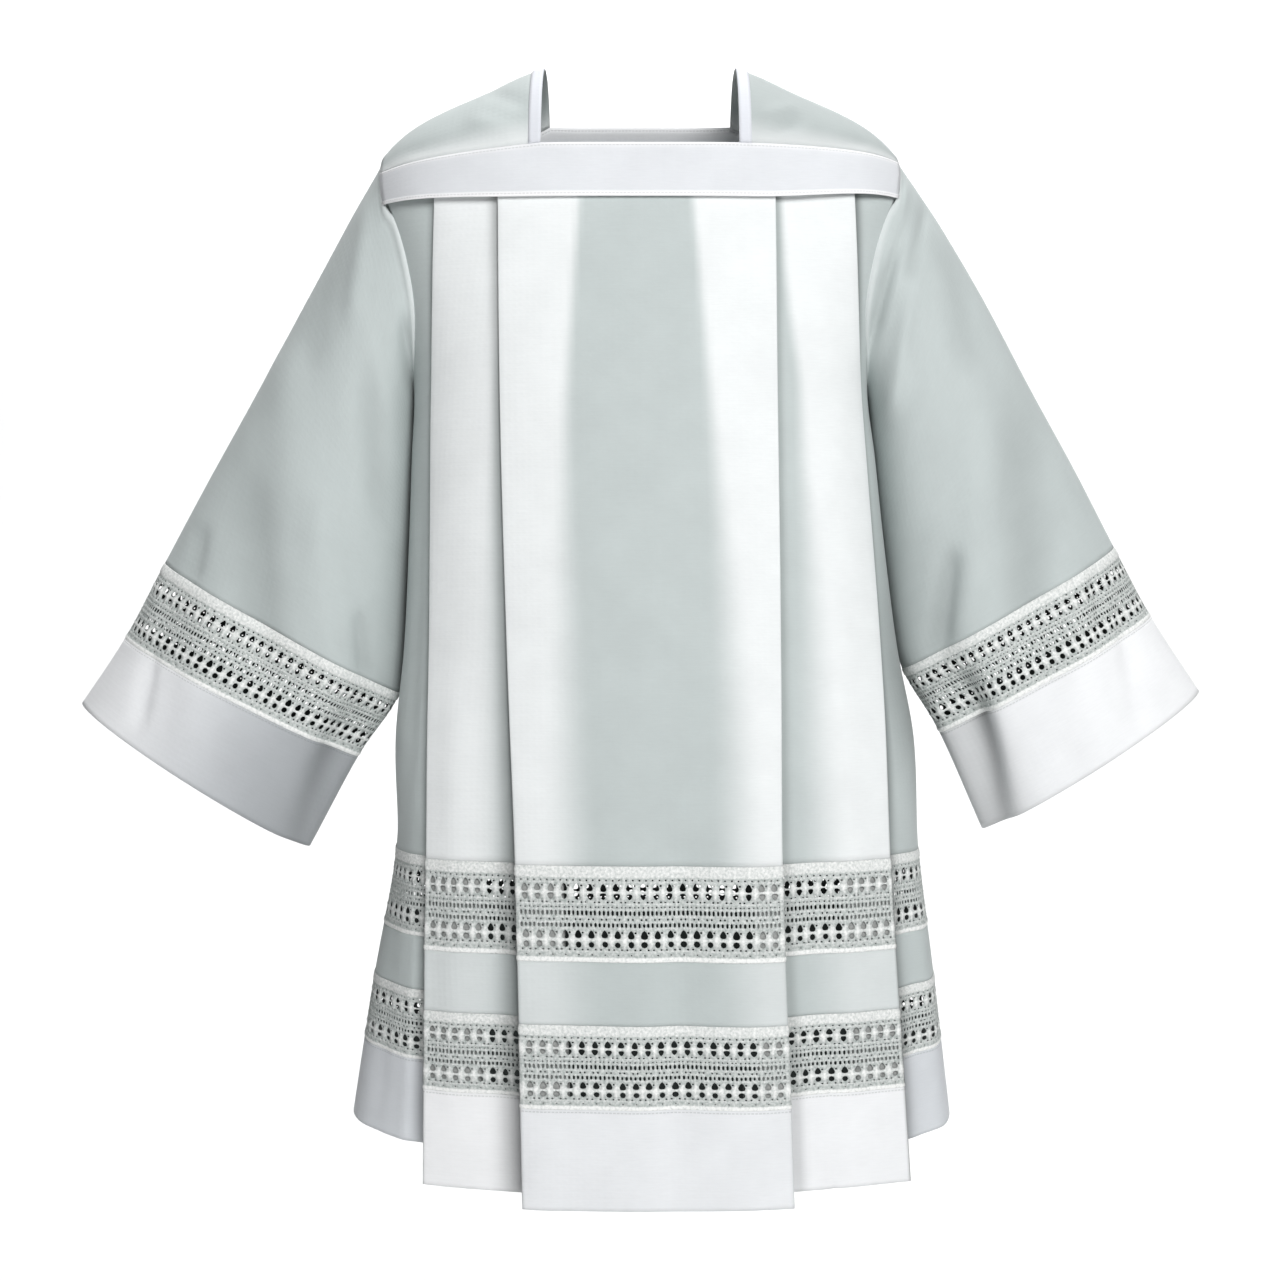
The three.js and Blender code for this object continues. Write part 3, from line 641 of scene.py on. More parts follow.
def stitch_row(tree, cloth, place):
    place_on_cloth = add_node(tree, "ShaderNodeSeparateXYZ", {}, {0: cloth})
    aside = add_node(tree, "ShaderNodeMath", {"operation": "SUBTRACT"},
                     {0: place_on_cloth.outputs["Y"], 1: place * MM})
    aside = add_node(tree, "ShaderNodeMath", {"operation": "ABSOLUTE"}, {0: aside.outputs[0]})
    row = add_node(tree, "ShaderNodeMapRange", {"interpolation_type": "SMOOTHSTEP"},
                   {"Value": aside.outputs[0], "From Min": THREAD_CORE * MM, "From Max": THREAD_WIDTH * MM,
                    "To Min": 1.0, "To Max": 0.0})
    along = add_node(tree, "ShaderNodeMath", {"operation": "DIVIDE"},
                     {0: place_on_cloth.outputs["X"], 1: STITCH_LENGTH * MM})
    along = add_node(tree, "ShaderNodeMath", {"operation": "FRACT"}, {0: along.outputs[0]})
    stitch = add_node(tree, "ShaderNodeMath", {"operation": "LESS_THAN"},
                      {0: along.outputs[0], 1: STITCH_SHARE})
    return add_node(tree, "ShaderNodeMath", {"operation": "MULTIPLY"},
                    {0: row.outputs[0], 1: stitch.outputs[0]})


def woven_cloth(name, single, backed, shaded, bump, stitching=()):
    material = bpy.data.materials.new(name)
    material.use_nodes = True
    tree = material.node_tree
    tree.nodes.clear()
    cloth = add_node(tree, "ShaderNodeUVMap", {"uv_map": "cloth"})
    backing = add_node(tree, "ShaderNodeAttribute", {"attribute_name": "backing"})
    colour = add_node(tree, "ShaderNodeMix", {"data_type": "RGBA"},
                      {0: backing.outputs["Fac"], 6: linear(single), 7: linear(backed)})
    # Painted shade: the shade attribute mixes the cloth towards a dark colour.
    painted_shade = add_node(tree, "ShaderNodeAttribute", {"attribute_name": "shade"})
    colour = add_node(tree, "ShaderNodeMix", {"data_type": "RGBA"},
                      {0: painted_shade.outputs["Fac"], 6: colour.outputs[2], 7: linear(shaded)})
    threads = []
    wave_scale = 2 * math.pi / WAVE_TURN / (WEAVE_PITCH * MM)
    for direction in ("X", "Y"):
        threads.append(add_node(tree, "ShaderNodeTexWave", {"bands_direction": direction},
                                {"Vector": cloth.outputs[0], "Scale": wave_scale,
                                 "Distortion": 0.6, "Detail": 1.0, "Detail Scale": 1.5}))
    weave = add_node(tree, "ShaderNodeMath", {"operation": "MULTIPLY"},
                     {0: threads[0].outputs["Fac"], 1: threads[1].outputs["Fac"]})
    slub_scale = (1 / (SLUB_LENGTH * MM), 1 / (SLUB_WIDTH * MM), 1)
    stretch = add_node(tree, "ShaderNodeMapping", {}, {"Vector": cloth.outputs[0], "Scale": slub_scale})
    slub = add_node(tree, "ShaderNodeTexNoise", {},
                    {"Vector": stretch.outputs[0], "Scale": 1.0, "Detail": 3.0})
    shade = add_node(tree, "ShaderNodeMapRange", {},
                     {"Value": slub.outputs["Fac"], "From Min": 0.25, "From Max": 0.75,
                      "To Min": SLUB_TONE[0], "To Max": SLUB_TONE[1]})
    cloud = add_node(tree, "ShaderNodeTexNoise", {},
                     {"Vector": cloth.outputs[0], "Scale": 1 / (CLOUD_SIZE * MM), "Detail": 2.0})
    cloud = add_node(tree, "ShaderNodeMapRange", {},
                     {"Value": cloud.outputs["Fac"], "From Min": 0.3, "From Max": 0.7,
                      "To Min": CLOUD_TONE[0], "To Max": CLOUD_TONE[1]})
    shade = add_node(tree, "ShaderNodeMath", {"operation": "MULTIPLY"},
                     {0: shade.outputs[0], 1: cloud.outputs[0]})
    tinted = add_node(tree, "ShaderNodeMix", {"data_type": "RGBA", "blend_type": "MULTIPLY"},
                      {0: 1.0, 6: colour.outputs[2], 7: shade.outputs[0]})
    relief = add_node(tree, "ShaderNodeMath", {"operation": "MULTIPLY_ADD"},
                      {0: slub.outputs["Fac"], 1: SLUB_RELIEF, 2: weave.outputs[0]})
    bumped = add_node(tree, "ShaderNodeBump", {},
                      {"Height": relief.outputs[0], "Strength": bump, "Distance": WEAVE_DEPTH * MM})
    for place in stitching:
        stitch = stitch_row(tree, cloth.outputs[0], place)
        # Painted shade in the sunken stitches.
        sunk = add_node(tree, "ShaderNodeMath", {"operation": "MULTIPLY"},
                        {0: stitch.outputs[0], 1: STITCH_SHADE})
        tinted = add_node(tree, "ShaderNodeMix", {"data_type": "RGBA"},
                          {0: sunk.outputs[0], 6: tinted.outputs[2], 7: linear(shaded)})
        bumped = add_node(tree, "ShaderNodeBump", {"invert": True},
                          {"Height": stitch.outputs[0], "Strength": 0.6, "Distance": STITCH_DEPTH * MM,
                           "Normal": bumped.outputs[0]})
    surface = add_node(tree, "ShaderNodeBsdfPrincipled", {},
                       {"Base Color": tinted.outputs[2], "Normal": bumped.outputs[0],
                        "Roughness": COTTON_ROUGHNESS, "IOR": COTTON_IOR, "Specular IOR Level": 0.3,
                        "Sheen Weight": 0.12, "Sheen Roughness": 0.5})
    add_node(tree, "ShaderNodeOutputMaterial", {}, {"Surface": surface.outputs[0]})
    return material


# %% Poplin in one layer and in two: not backed, backed and painted shade, bump, and rows of stitches in mm
PAINTED_SHADE_COLOUR = "#2A2F2E"
single_poplin = woven_cloth(
    "poplin, one layer", "#C0C8C7", "#EBEEEE", PAINTED_SHADE_COLOUR, 0.4)
doubled_poplin = woven_cloth(
    "poplin, two layers", "#D8DBE2", "#F6F7F8", PAINTED_SHADE_COLOUR, 0.3)
stitched_poplin = woven_cloth(
    "poplin, two layers, stitched at its top", "#D2D6DA", "#F6F7F8", PAINTED_SHADE_COLOUR, 0.3, [2.0])
yoke_poplin = {
    "front": woven_cloth(
        "poplin, two layers, topstitched", "#CED2D7", "#FAFAFB", PAINTED_SHADE_COLOUR, 0.3, [2.4, 42]),
    "back": woven_cloth(
        "poplin, two layers, stitched at the neck", "#CED2D7", "#FAFAFB", PAINTED_SHADE_COLOUR, 0.3, [2.4]),
}

# %% Lace thread
# Mercerised cotton thread, worked close. It is white, a little brighter than the cloth, and rough with its
# own stitches.
STITCH_SIZE = 2.4
FUZZ_TONE = 1.25
FUZZ_DEPTH = 0.3


def lace_cotton(name, raised, ground, shaded):
    material = bpy.data.materials.new(name)
    material.use_nodes = True
    tree = material.node_tree
    tree.nodes.clear()
    cloth = add_node(tree, "ShaderNodeUVMap", {"uv_map": "cloth"})
    whiteness = add_node(tree, "ShaderNodeAttribute", {"attribute_name": "backing"})
    fuzz = add_node(tree, "ShaderNodeTexNoise", {},
                    {"Vector": cloth.outputs[0], "Scale": 1 / (STITCH_SIZE * MM),
                     "Detail": 2.0, "Roughness": 0.6})
    centred = add_node(tree, "ShaderNodeMath", {"operation": "SUBTRACT"}, {0: fuzz.outputs["Fac"], 1: 0.5})
    tone = add_node(tree, "ShaderNodeMath", {"operation": "MULTIPLY_ADD"},
                    {0: centred.outputs[0], 1: FUZZ_TONE, 2: whiteness.outputs["Fac"]})
    right_side = add_node(tree, "ShaderNodeMix", {"data_type": "RGBA"},
                          {0: tone.outputs[0], 6: linear(ground), 7: linear(raised)})
    # Painted shade: the shade attribute mixes the lace towards a dark colour.
    painted_shade = add_node(tree, "ShaderNodeAttribute", {"attribute_name": "shade"})
    tinted = add_node(tree, "ShaderNodeMix", {"data_type": "RGBA"},
                      {0: painted_shade.outputs["Fac"], 6: right_side.outputs[2], 7: linear(shaded)})
    bumped = add_node(tree, "ShaderNodeBump", {},
                      {"Height": tone.outputs[0], "Strength": 0.5, "Distance": FUZZ_DEPTH * MM})
    surface = add_node(tree, "ShaderNodeBsdfPrincipled", {},
                       {"Base Color": tinted.outputs[2], "Normal": bumped.outputs[0],
                        "Roughness": COTTON_ROUGHNESS, "IOR": COTTON_IOR, "Specular IOR Level": 0.3})
    add_node(tree, "ShaderNodeOutputMaterial", {}, {"Surface": surface.outputs[0]})
    return material


# The last colour is painted shade, for the wrong side and beside the pleats.
lace_thread = lace_cotton("cotton lace thread", "#F8F9F7", "#8C9794", "#1E2221")
print("materials:", single_poplin.name, doubled_poplin.name, lace_thread.name)

# %% [markdown]
# Listing the pieces.
# Every piece rides on the one body and stands for its solid. A list keeps each piece with its solid, the
# slot of the record meant for its finish, the size that its cloth was cut to and how it is held. The pieces
# are attached once all of them are made.

# %% Remember each piece with its solid, slot, cut and how it is held
SINGLE_THICKNESS = 0.5
DOUBLED_THICKNESS = 0.9
LACE_THICKNESS = 0.7
pieces = []


def remember(piece, node, slot, cut, held, area=None):
    pieces.append((piece, node, slot, cut, held, area))
    print(piece.name, len(piece.data.vertices), "points")


# %% [markdown]
# Front and back of the skirt.
# Each side is a plain panel, a lace band, a plain strip, a second lace band and a deep doubled hem. All
# five share one path, so their pleats line up as they do in cloth that is pleated after it is sewn.

# %% Plain panels, strips and hems
FINE_STEP = 4
STRIP_HEIGHTS = heights_between(STRIP_TOP, LACE_LOWER_TOP, FINE_STEP)
HEM_HEIGHTS = heights_between(HEM_TOP, HEM_BOTTOM, FINE_STEP)
SKIRT_PARTS = {
    "panel": (PANEL_HEIGHTS, SINGLE_THICKNESS, single_poplin, "single_cloth"),
    "strip": (STRIP_HEIGHTS, SINGLE_THICKNESS, single_poplin, "single_cloth"),
    "hem": (HEM_HEIGHTS, DOUBLED_THICKNESS, stitched_poplin, "doubled_cloth"),
}
SIDES = {"front": -1, "back": 1}
HOLLOW = np.array([0, 0, -500])
STRIP_WHITENESS = 0.5
# Whiteness of the hem in each stretch, left to right: partly the pleats' layers behind it, partly painted
# light and shade, greyer at the sides.
HEM_LAYERS_AND_LIGHT = {"front": (0.1, 1.0, 0.62, 0.85, 0.1), "back": (0.1, 0.6, 0.1)}
for side_name, facing in SIDES.items():
    for part, (heights, thickness, material, slot) in SKIRT_PARTS.items():
        points, backing, shade, stops = skirt_grid(facing, heights)
        if part == "strip":
            backing = backing * STRIP_WHITENESS
        if part == "hem":
            levels = HEM_LAYERS_AND_LIGHT[side_name]
            backing = np.full(points.shape[1], levels[0])
            for k in range(1, len(stops)):
                begin = stops[k - 1][1] + 1 if k <= len(stops) // 2 else stops[k][0]
                backing[begin:] = levels[k]
        name = f"{side_name}_{part}"
        piece = grid_shell(f"{name}_cloth", points, backing, thickness, material, HOLLOW, shade)
        drop = column_lengths(points)[points.shape[1] // 2]
        remember(piece, name, slot, (row_lengths(points).mean() * MM, drop * MM), "hung")

# %% [markdown]
# The lace.
# The openwork repeats every 11 mm: large holes in pairs above and below, cords between them, and a ladder
# of small slots along the middle. One repeat is drawn flat, its holes are cut, and the rest is filled with
# triangles. Five slightly different repeats are then set side by side in a mixed order, since handmade
# holes are never the same.

# %% Holes of one repeat: place across and down, width and height in mm, and shape
LACE_PITCH = 11.3
SLEEVE_LACE_PITCH = 9.8
LACE_HEIGHT = 79
HOLES = [
    (0.50, 0.222, 5.9, 6.8, "peak"), (0.50, 0.318, 5.6, 5.5, "drop"),
    (0.50, 0.712, 6.1, 7.2, "peak"), (0.50, 0.818, 5.6, 5.4, "round"),
    (0.84, 0.203, 2.2, 2.0, "dot"), (0.84, 0.694, 2.2, 2.0, "dot"),
    (0.25, 0.148, 1.9, 1.7, "dot"), (0.75, 0.148, 1.9, 1.7, "dot"),
    (0.17, 0.376, 2.0, 1.7, "dot"), (0.83, 0.376, 2.0, 1.7, "dot"),
    (0.50, 0.430, 1.8, 1.6, "dot"), (0.14, 0.428, 1.6, 1.4, "dot"), (0.86, 0.428, 1.6, 1.4, "dot"),
    (0.167, 0.490, 2.4, 4.8, "slot"), (0.50, 0.490, 2.4, 4.8, "slot"), (0.833, 0.490, 2.4, 4.8, "slot"),
    (0.333, 0.556, 2.0, 2.0, "dot"), (0.667, 0.556, 2.0, 2.0, "dot"),
    (0.167, 0.616, 2.4, 4.4, "slot"), (0.50, 0.616, 2.2, 3.8, "slot"), (0.833, 0.616, 2.4, 4.4, "slot"),
    (0.20, 0.870, 2.1, 1.8, "dot"), (0.80, 0.870, 2.1, 1.8, "dot"),
    (0.50, 0.925, 1.7, 1.4, "dot"),
]
PEAK = [(0, -0.5), (0.27, -0.3), (0.49, 0.12), (0.42, 0.4), (0.15, 0.5),
        (-0.15, 0.5), (-0.42, 0.4), (-0.49, 0.12), (-0.27, -0.3)]
OUTLINES = {
    "peak": PEAK,
    "drop": [(x, -y) for x, y in PEAK],
    "round": [(0.5 * math.cos(a), 0.5 * math.sin(a)) for a in np.linspace(0, 2 * math.pi, 9)[:-1]],
    "slot": [(0.5 * math.cos(a), 0.5 * math.sin(a)) for a in np.linspace(0, 2 * math.pi, 7)[:-1] + 0.52],
    "dot": [(0.5 * math.cos(a), 0.5 * math.sin(a)) for a in np.linspace(0, 2 * math.pi, 6)[:-1]],
}

# %% Raised cords and tucks: middle and half width as shares of the band's height, and how high they stand
CORDS = [
    (0.272, 0.012, 0.55), (0.770, 0.012, 0.55),
    (0.452, 0.006, 0.3), (0.530, 0.006, 0.3), (0.585, 0.006, 0.3), (0.650, 0.006, 0.3),
    (0.170, 0.008, 0.3), (0.395, 0.008, 0.3), (0.890, 0.008, 0.3),
]
TUCKS = [(0.030, 0.112, 0.7), (0.958, 0.986, 0.8)]
TUCK_ROWS = {0, 0.012, 0.024, 0.036, 0.07, 0.105, 0.118, 0.13, 0.945, 0.955, 0.965, 0.978, 0.99, 1}
CORD_ROWS = {round(middle + aside, 4) for middle, width, _ in CORDS for aside in (-width, 0, width)}
ROW_SHARES = sorted(TUCK_ROWS | CORD_ROWS)


def lace_relief(down):
    height = np.zeros_like(down)
    for middle, half_width, rise in CORDS:
        height += rise * np.exp(-((down - middle) / half_width) ** 2)
    for top, bottom, rise in TUCKS:
        begun = smooth_step(top - 0.03, top + 0.008, down)
        ended = smooth_step(bottom - 0.008, bottom + 0.014, down)
        height += rise * begun * (1 - ended)
    return height


# %% How white the lace is: stars between the large holes, cords and tucks, on a greyer ground
STARS = [
    (0.0, 0.272, 0.22, 0.046), (1.0, 0.272, 0.22, 0.046),
    (0.0, 0.768, 0.24, 0.048), (1.0, 0.768, 0.24, 0.048),
]
WHITE_LINES = [(-0.1, 0.124, 0.74), (0.950, 1.1, 0.95)]
LACE_GROUND = 0.36
STAR_WHITENESS = 0.6
CORD_WHITENESS = 0.7


def lace_whiteness(across, down):
    white = np.full(down.shape, LACE_GROUND)
    for star_x, star_y, half_width, half_height in STARS:
        reach = np.hypot((across - star_x) / half_width, (down - star_y) / half_height)
        white = np.maximum(white, LACE_GROUND + STAR_WHITENESS * np.exp(-reach ** 2))
    for middle, half_width, rise in CORDS:
        cord = rise * np.exp(-((down - middle) / half_width) ** 2)
        white = np.maximum(white, LACE_GROUND + CORD_WHITENESS * cord)
    for top, bottom, level in WHITE_LINES:
        below_top = smooth_step(top - 0.01, top + 0.01, down)
        within = below_top * (1 - smooth_step(bottom - 0.01, bottom + 0.01, down))
        white = np.maximum(white, level * within)
    return white


# %% Cut the holes of one repeat and fill the rest
LOOSENESS = {"peak": 0.3, "drop": 0.3, "round": 0.3, "slot": 0.15, "dot": 0.15}
HOLE_GROWTH = (0.88, 1.08)
FILL_COLUMNS = (0.2, 0.4, 0.6, 0.8)
HOLE_MARGIN = 0.45
MERGE_DISTANCE = 1e-5


def lies_within(point, outline):
    x, y = point
    hit = False
    for (x0, y0), (x1, y1) in zip(outline, outline[1:] + outline[:1]):
        if (y0 > y) != (y1 > y) and x < x0 + (y - y0) * (x1 - x0) / (y1 - y0):
            hit = not hit
    return hit


def lace_repeat(random):
    outlines = []
    for across, down, width, height, shape in HOLES:
        loose = LOOSENESS[shape]
        x = across * LACE_PITCH + random.uniform(-loose, loose)
        y = down * LACE_HEIGHT + random.uniform(-loose, loose)
        grow_x, grow_y = random.uniform(*HOLE_GROWTH, 2)
        outlines.append([(x + width * grow_x * a, y + height * grow_y * b) for a, b in OUTLINES[shape]])
    vertices, edges = [], []
    for outline in outlines:
        first = len(vertices)
        vertices += outline
        edges += [(first + k, first + (k + 1) % len(outline)) for k in range(len(outline))]
    hole_points = np.array(vertices)
    sides = [(x, share * LACE_HEIGHT) for x in (0, LACE_PITCH) for share in ROW_SHARES]
    first = len(vertices)
    vertices += sides
    for start in (first, first + len(ROW_SHARES)):
        edges += [(start + k, start + k + 1) for k in range(len(ROW_SHARES) - 1)]
    for share in ROW_SHARES:
        for across in FILL_COLUMNS:
            point = (across * LACE_PITCH, share * LACE_HEIGHT)
            clear = np.min(np.hypot(*(hole_points - point).T)) > HOLE_MARGIN
            if clear and not any(lies_within(point, outline) for outline in outlines):
                vertices.append(point)
    flat, _, triangles, *_ = delaunay_2d_cdt([Vector(v) for v in vertices], edges, [], 0, MERGE_DISTANCE)
    flat = np.array([tuple(v) for v in flat])
    kept = []
    for triangle in triangles:
        middle = flat[list(triangle)].mean(axis=0)
        if not any(lies_within(middle, outline) for outline in outlines):
            kept.append(triangle)
    return flat / (LACE_PITCH, LACE_HEIGHT), np.array(kept)


LACE_VARIANTS = 5
LACE_SEED = 11
lace_random = np.random.default_rng(LACE_SEED)
repeats = [lace_repeat(lace_random) for _ in range(LACE_VARIANTS)]
print("triangles in one repeat of the lace:", [len(triangles) for _, triangles in repeats])


# %% [markdown]
# Laying the lace on the form.
# The flat repeats are laid on the pleated path like tiles. Where the path folds, plain columns carry the
# band round, as the pleats do with the real lace. Each tile's left edge takes up the points of the tile
# before it, so the band is one mesh without a seam.

# %% Read a grid of points anywhere between its rows and columns
def read_grid(grid, row, column):
    row = np.clip(row, 0, grid.shape[0] - 1.0001)
    column = np.clip(column, 0, grid.shape[1] - 1.0001)
    r, c = row.astype(int), column.astype(int)
    fr, fc = (row - r)[:, None], (column - c)[:, None]
    top = grid[r, c] * (1 - fc) + grid[r, c + 1] * fc
    bottom = grid[r + 1, c] * (1 - fc) + grid[r + 1, c + 1] * fc
    return top * (1 - fr) + bottom * fr


# %% Set repeats along each flat stretch, and plain columns round each fold
ON_EDGE = 1e-4
THREAD_UNEVENNESS = 0.08


def lace_band(name, grid, shade, stops, inside, pitch):
    rows = grid.shape[0]
    normals = grid_normals(grid)
    if np.sum(normals * (grid - inside)) < 0:
        normals = -normals
    uv_grid = cloth_map(grid)
    places, faces, whiteness = [], [], []
    edge = None

    def add_points(down, column, across):
        first = sum(len(block) for block in places)
        places.append(np.stack([down * (rows - 1), column], axis=1))
        whiteness.append(lace_whiteness(across, down))
        return np.arange(first, first + len(down))

    shares = np.array(ROW_SHARES)
    for order, (start, end) in enumerate(stops):
        if edge is not None:
            for column in range(stops[order - 1][1] + 1, start + 1):
                columns = np.full(len(shares), float(column))
                following = add_points(shares, columns, np.zeros(len(shares)))
                faces += np.stack([edge[:-1], following[:-1], following[1:], edge[1:]], axis=1).tolist()
                edge = following
        line = grid[rows // 2, start:end + 1]
        lengths = np.concatenate([[0], np.cumsum(np.linalg.norm(np.diff(line, axis=0), axis=1))])
        count = max(1, round(lengths[-1] / pitch))
        for tile in range(count):
            flat, triangles = repeats[lace_random.integers(LACE_VARIANTS)]
            reach = lengths[-1] * (tile + flat[:, 0]) / count
            column = np.interp(reach, lengths, np.arange(start, end + 1))
            index = np.full(len(flat), -1)
            on_left = np.flatnonzero(flat[:, 0] < ON_EDGE)
            on_left = on_left[np.argsort(flat[on_left, 1])]
            if edge is not None:
                index[on_left] = edge
            new = np.flatnonzero(index < 0)
            index[new] = add_points(flat[new, 1], column[new], flat[new, 0])
            on_right = np.flatnonzero(flat[:, 0] > 1 - ON_EDGE)
            edge = index[on_right[np.argsort(flat[on_right, 1])]]
            faces += index[triangles].tolist()
    row, column = np.concatenate(places).T
    relief = lace_relief(row / (rows - 1))
    relief += lace_random.uniform(-THREAD_UNEVENNESS, THREAD_UNEVENNESS, len(row))
    points = read_grid(grid, row, column) + read_grid(normals, row, column) * relief[:, None]
    uv = read_grid(uv_grid, row, column)
    shade = [read_grid(values[:, :, None], row, column)[:, 0] for values in shade]
    return make_shell(name, points, faces, uv, np.concatenate(whiteness), LACE_THICKNESS, lace_thread,
                      inside, shade)


# %% Lace bands of the skirt
LACE_BANDS = [("lace_upper", LACE_UPPER_TOP, STRIP_TOP), ("lace_lower", LACE_LOWER_TOP, HEM_TOP)]
for side_name, facing in SIDES.items():
    for band, top, bottom in LACE_BANDS:
        grid, _, shade, stops = skirt_grid(facing, heights_between(top, bottom, FINE_STEP))
        name = f"{side_name}_{band}"
        piece = lace_band(f"{name}_openwork", grid, shade, stops, HOLLOW, LACE_PITCH)
        remember(piece, name, "lace", (row_lengths(grid).mean() * MM, (top - bottom) * MM), "hung")

# %% [markdown]
# The yoke.
# A yoke is a flat doubled band that the pleats are sewn into and that rests on the shoulders. Here it is an
# arch from the front over the shoulder line to the back, so front band, shoulders and back band lie on one
# surface. Its depth at each x stands just outside the pleats' tops, which it covers.

# %% The arch over the shoulders
YOKE_REACH = 240
yoke_x = np.linspace(0, YOKE_REACH, YOKE_REACH + 1)
yoke_depths = {}
for face_name, face_column in (("front", 1), ("back", 2)):
    plan = BodyPlan(BODY[0][0], SIDES[face_name])
    offsets = read_table(YOKE_OFFSET, yoke_x, face_column)
    places = [plan.place_at_x(x, offset) for x, offset in zip(yoke_x, offsets)]
    depths = [abs(float(plan.at_place(place, offset)[1])) for place, offset in zip(places, offsets)]
    yoke_depths[face_name] = np.array(depths)


def yoke_point(x, angle):
    front = np.interp(np.abs(x), yoke_x, yoke_depths["front"])
    back = np.interp(np.abs(x), yoke_x, yoke_depths["back"])
    depth = np.where(angle < 0, front, back)
    ridge = read_table(RIDGE, np.abs(x), 1)
    y = np.sign(angle) * depth * np.abs(np.sin(angle)) ** (2 / ARCH_SQUARENESS)
    z = YOKE_BOTTOM + (ridge - YOKE_BOTTOM) * np.abs(np.cos(angle)) ** (2 / ARCH_SQUARENESS)
    return np.stack([x, y, z], axis=-1)


def yoke_angle(x, z):
    share = (z - YOKE_BOTTOM) / (read_table(RIDGE, np.abs(x), 1) - YOKE_BOTTOM)
    return np.arccos(np.clip(share, 0, 1) ** (ARCH_SQUARENESS / 2))


# %% Where the arch meets the rim of the armhole
end_angles = np.linspace(-math.pi / 2, math.pi / 2, 181)
reach = np.linspace(*ARMHOLE_REACH, 331)
end_x = []
for angle in end_angles:
    rim = yoke_point(reach, np.full(len(reach), angle))
    beyond = (rim[:, 1] / ARMHOLE_HALF_DEPTH) ** 2 + ((rim[:, 2] - ARMHOLE_Z) / ARMHOLE_HALF_HEIGHT) ** 2 - 1
    inward = np.flatnonzero(beyond[1:] * beyond[:-1] <= 0)
    end_x.append(reach[inward[0]] if len(inward) else reach[-1])


def across_yoke(across, angle):
    end = np.interp(angle, end_angles, end_x)
    beyond_neck = np.clip(np.abs(across) - 1, 0, 1)
    width = np.minimum(np.abs(across), 1) * NECK_HALF_WIDTH + (end - NECK_HALF_WIDTH) * beyond_neck
    return np.sign(across) * width


def band_top(x, neck_height):
    reach_out = (np.abs(x) - NECK_HALF_WIDTH) / (YOKE_HALF_WIDTH - NECK_HALF_WIDTH)
    end_top = np.where(x < 0, YOKE_END_TOP[-1], YOKE_END_TOP[1])
    return neck_height + (end_top - neck_height) * np.clip(reach_out, 0, 1)


def band_bottom(x):
    reach_out = smooth_step(0.45, 1.05, np.abs(x) / YOKE_HALF_WIDTH)
    return YOKE_BOTTOM + reach_out * np.where(x < 0, YOKE_END_RISE[-1], YOKE_END_RISE[1])


def settle(across, angle_at):
    x = np.sign(across) * np.minimum(np.abs(across), 1) * NECK_HALF_WIDTH
    for _ in range(6):
        angle = angle_at(x)
        x = across_yoke(across, angle)
    return x, angle


print("reach of the yoke at the shoulder line, in mm:", round(end_x[len(end_x) // 2]))

# %% Yoke bands, with a welt along the lower edge and a soft fold along the upper one
YOKE_ROWS = 22
WELT_ROWS = 6
WELT = {"top": 0.91, "height": 0.7}
YOKE_WHITENESS = 0.35
FOLD_HIGHLIGHT = 0.5
FOLD_REACH = 0.14
shoulder_shares = np.linspace(0, 1, 36)
across = np.concatenate([-2 + shoulder_shares[:-1], np.linspace(-1, 1, 44), 1 + shoulder_shares[1:]])
shares = np.concatenate([np.linspace(0, 0.86, YOKE_ROWS - WELT_ROWS), np.linspace(0.885, 1, WELT_ROWS)])
on_welt = smooth_step(WELT["top"] - 0.02, WELT["top"] + 0.015, shares)
for side_name, facing in SIDES.items():
    neck_height = NECK_FRONT if facing < 0 else NECK_BACK
    rows = []
    for share in shares:
        x, angle = settle(across, lambda x: facing * yoke_angle(x, band_top(x, neck_height) * (1 - share)
                                                                + band_bottom(x) * share))
        rows.append(yoke_point(x, angle))
    grid = np.array(rows)
    normals = grid_normals(grid)
    normals *= np.sign(normals[0, len(across) // 2, 2] or 1)
    grid = grid + normals * (WELT["height"] * on_welt)[:, None, None]
    name = f"yoke_{side_name}"
    whiteness = YOKE_WHITENESS + (1 - YOKE_WHITENESS) * on_welt
    # Painted highlight along the soft upper fold.
    whiteness += FOLD_HIGHLIGHT * (1 - smooth_step(0, FOLD_REACH, shares))
    piece = grid_shell(f"{name}_cloth", grid, whiteness[:, None], DOUBLED_THICKNESS, yoke_poplin[side_name],
                       HOLLOW, (0, 0))
    remember(piece, name, "doubled_cloth", mean_size(grid), "stretched")

# %% [markdown]
# Shoulders and neck bindings.
# The shoulder pieces lie between the two yoke bands, in single cloth. Down each side of the neck runs a
# narrow doubled binding, which keeps the corners of the square neck crisp.

# %% Shoulder pieces and bindings
SHOULDER_ROWS = 48
SHOULDER_CREASES = [
    (92, -90, 146, -56, 6, -3.6),
    (100, -64, 140, -44, 6, 2.0),
    (140, -92, 206, -78, 7, -2.6),
    (-96, -84, -156, -56, 9, 2.2),
    (-130, -84, -214, -90, 7, -2.8),
    (-92, -54, -140, -26, 8, -2.0),
]
# Painted shade on the shoulders, on the right one only.
SHOULDER_SHADE = {"left": 0.0, "right": 0.16}
SEAM_WHITENESS = {"shoulder": 0.8, "sleeve": 0.45}


def shoulder_grid(side, outward):
    rows = []
    for share in np.linspace(0, 1, SHOULDER_ROWS):
        x, angle = settle(outward, lambda x: -yoke_angle(x, band_top(side * x, NECK_FRONT)) * (1 - share)
                          + yoke_angle(x, band_top(side * x, NECK_BACK)) * share)
        rows.append(yoke_point(x, angle) * (side, 1, 1))
    return np.array(rows)


def upward_normals(grid):
    normals = grid_normals(grid)
    return normals * np.sign(normals[len(grid) // 2, 2, 2])


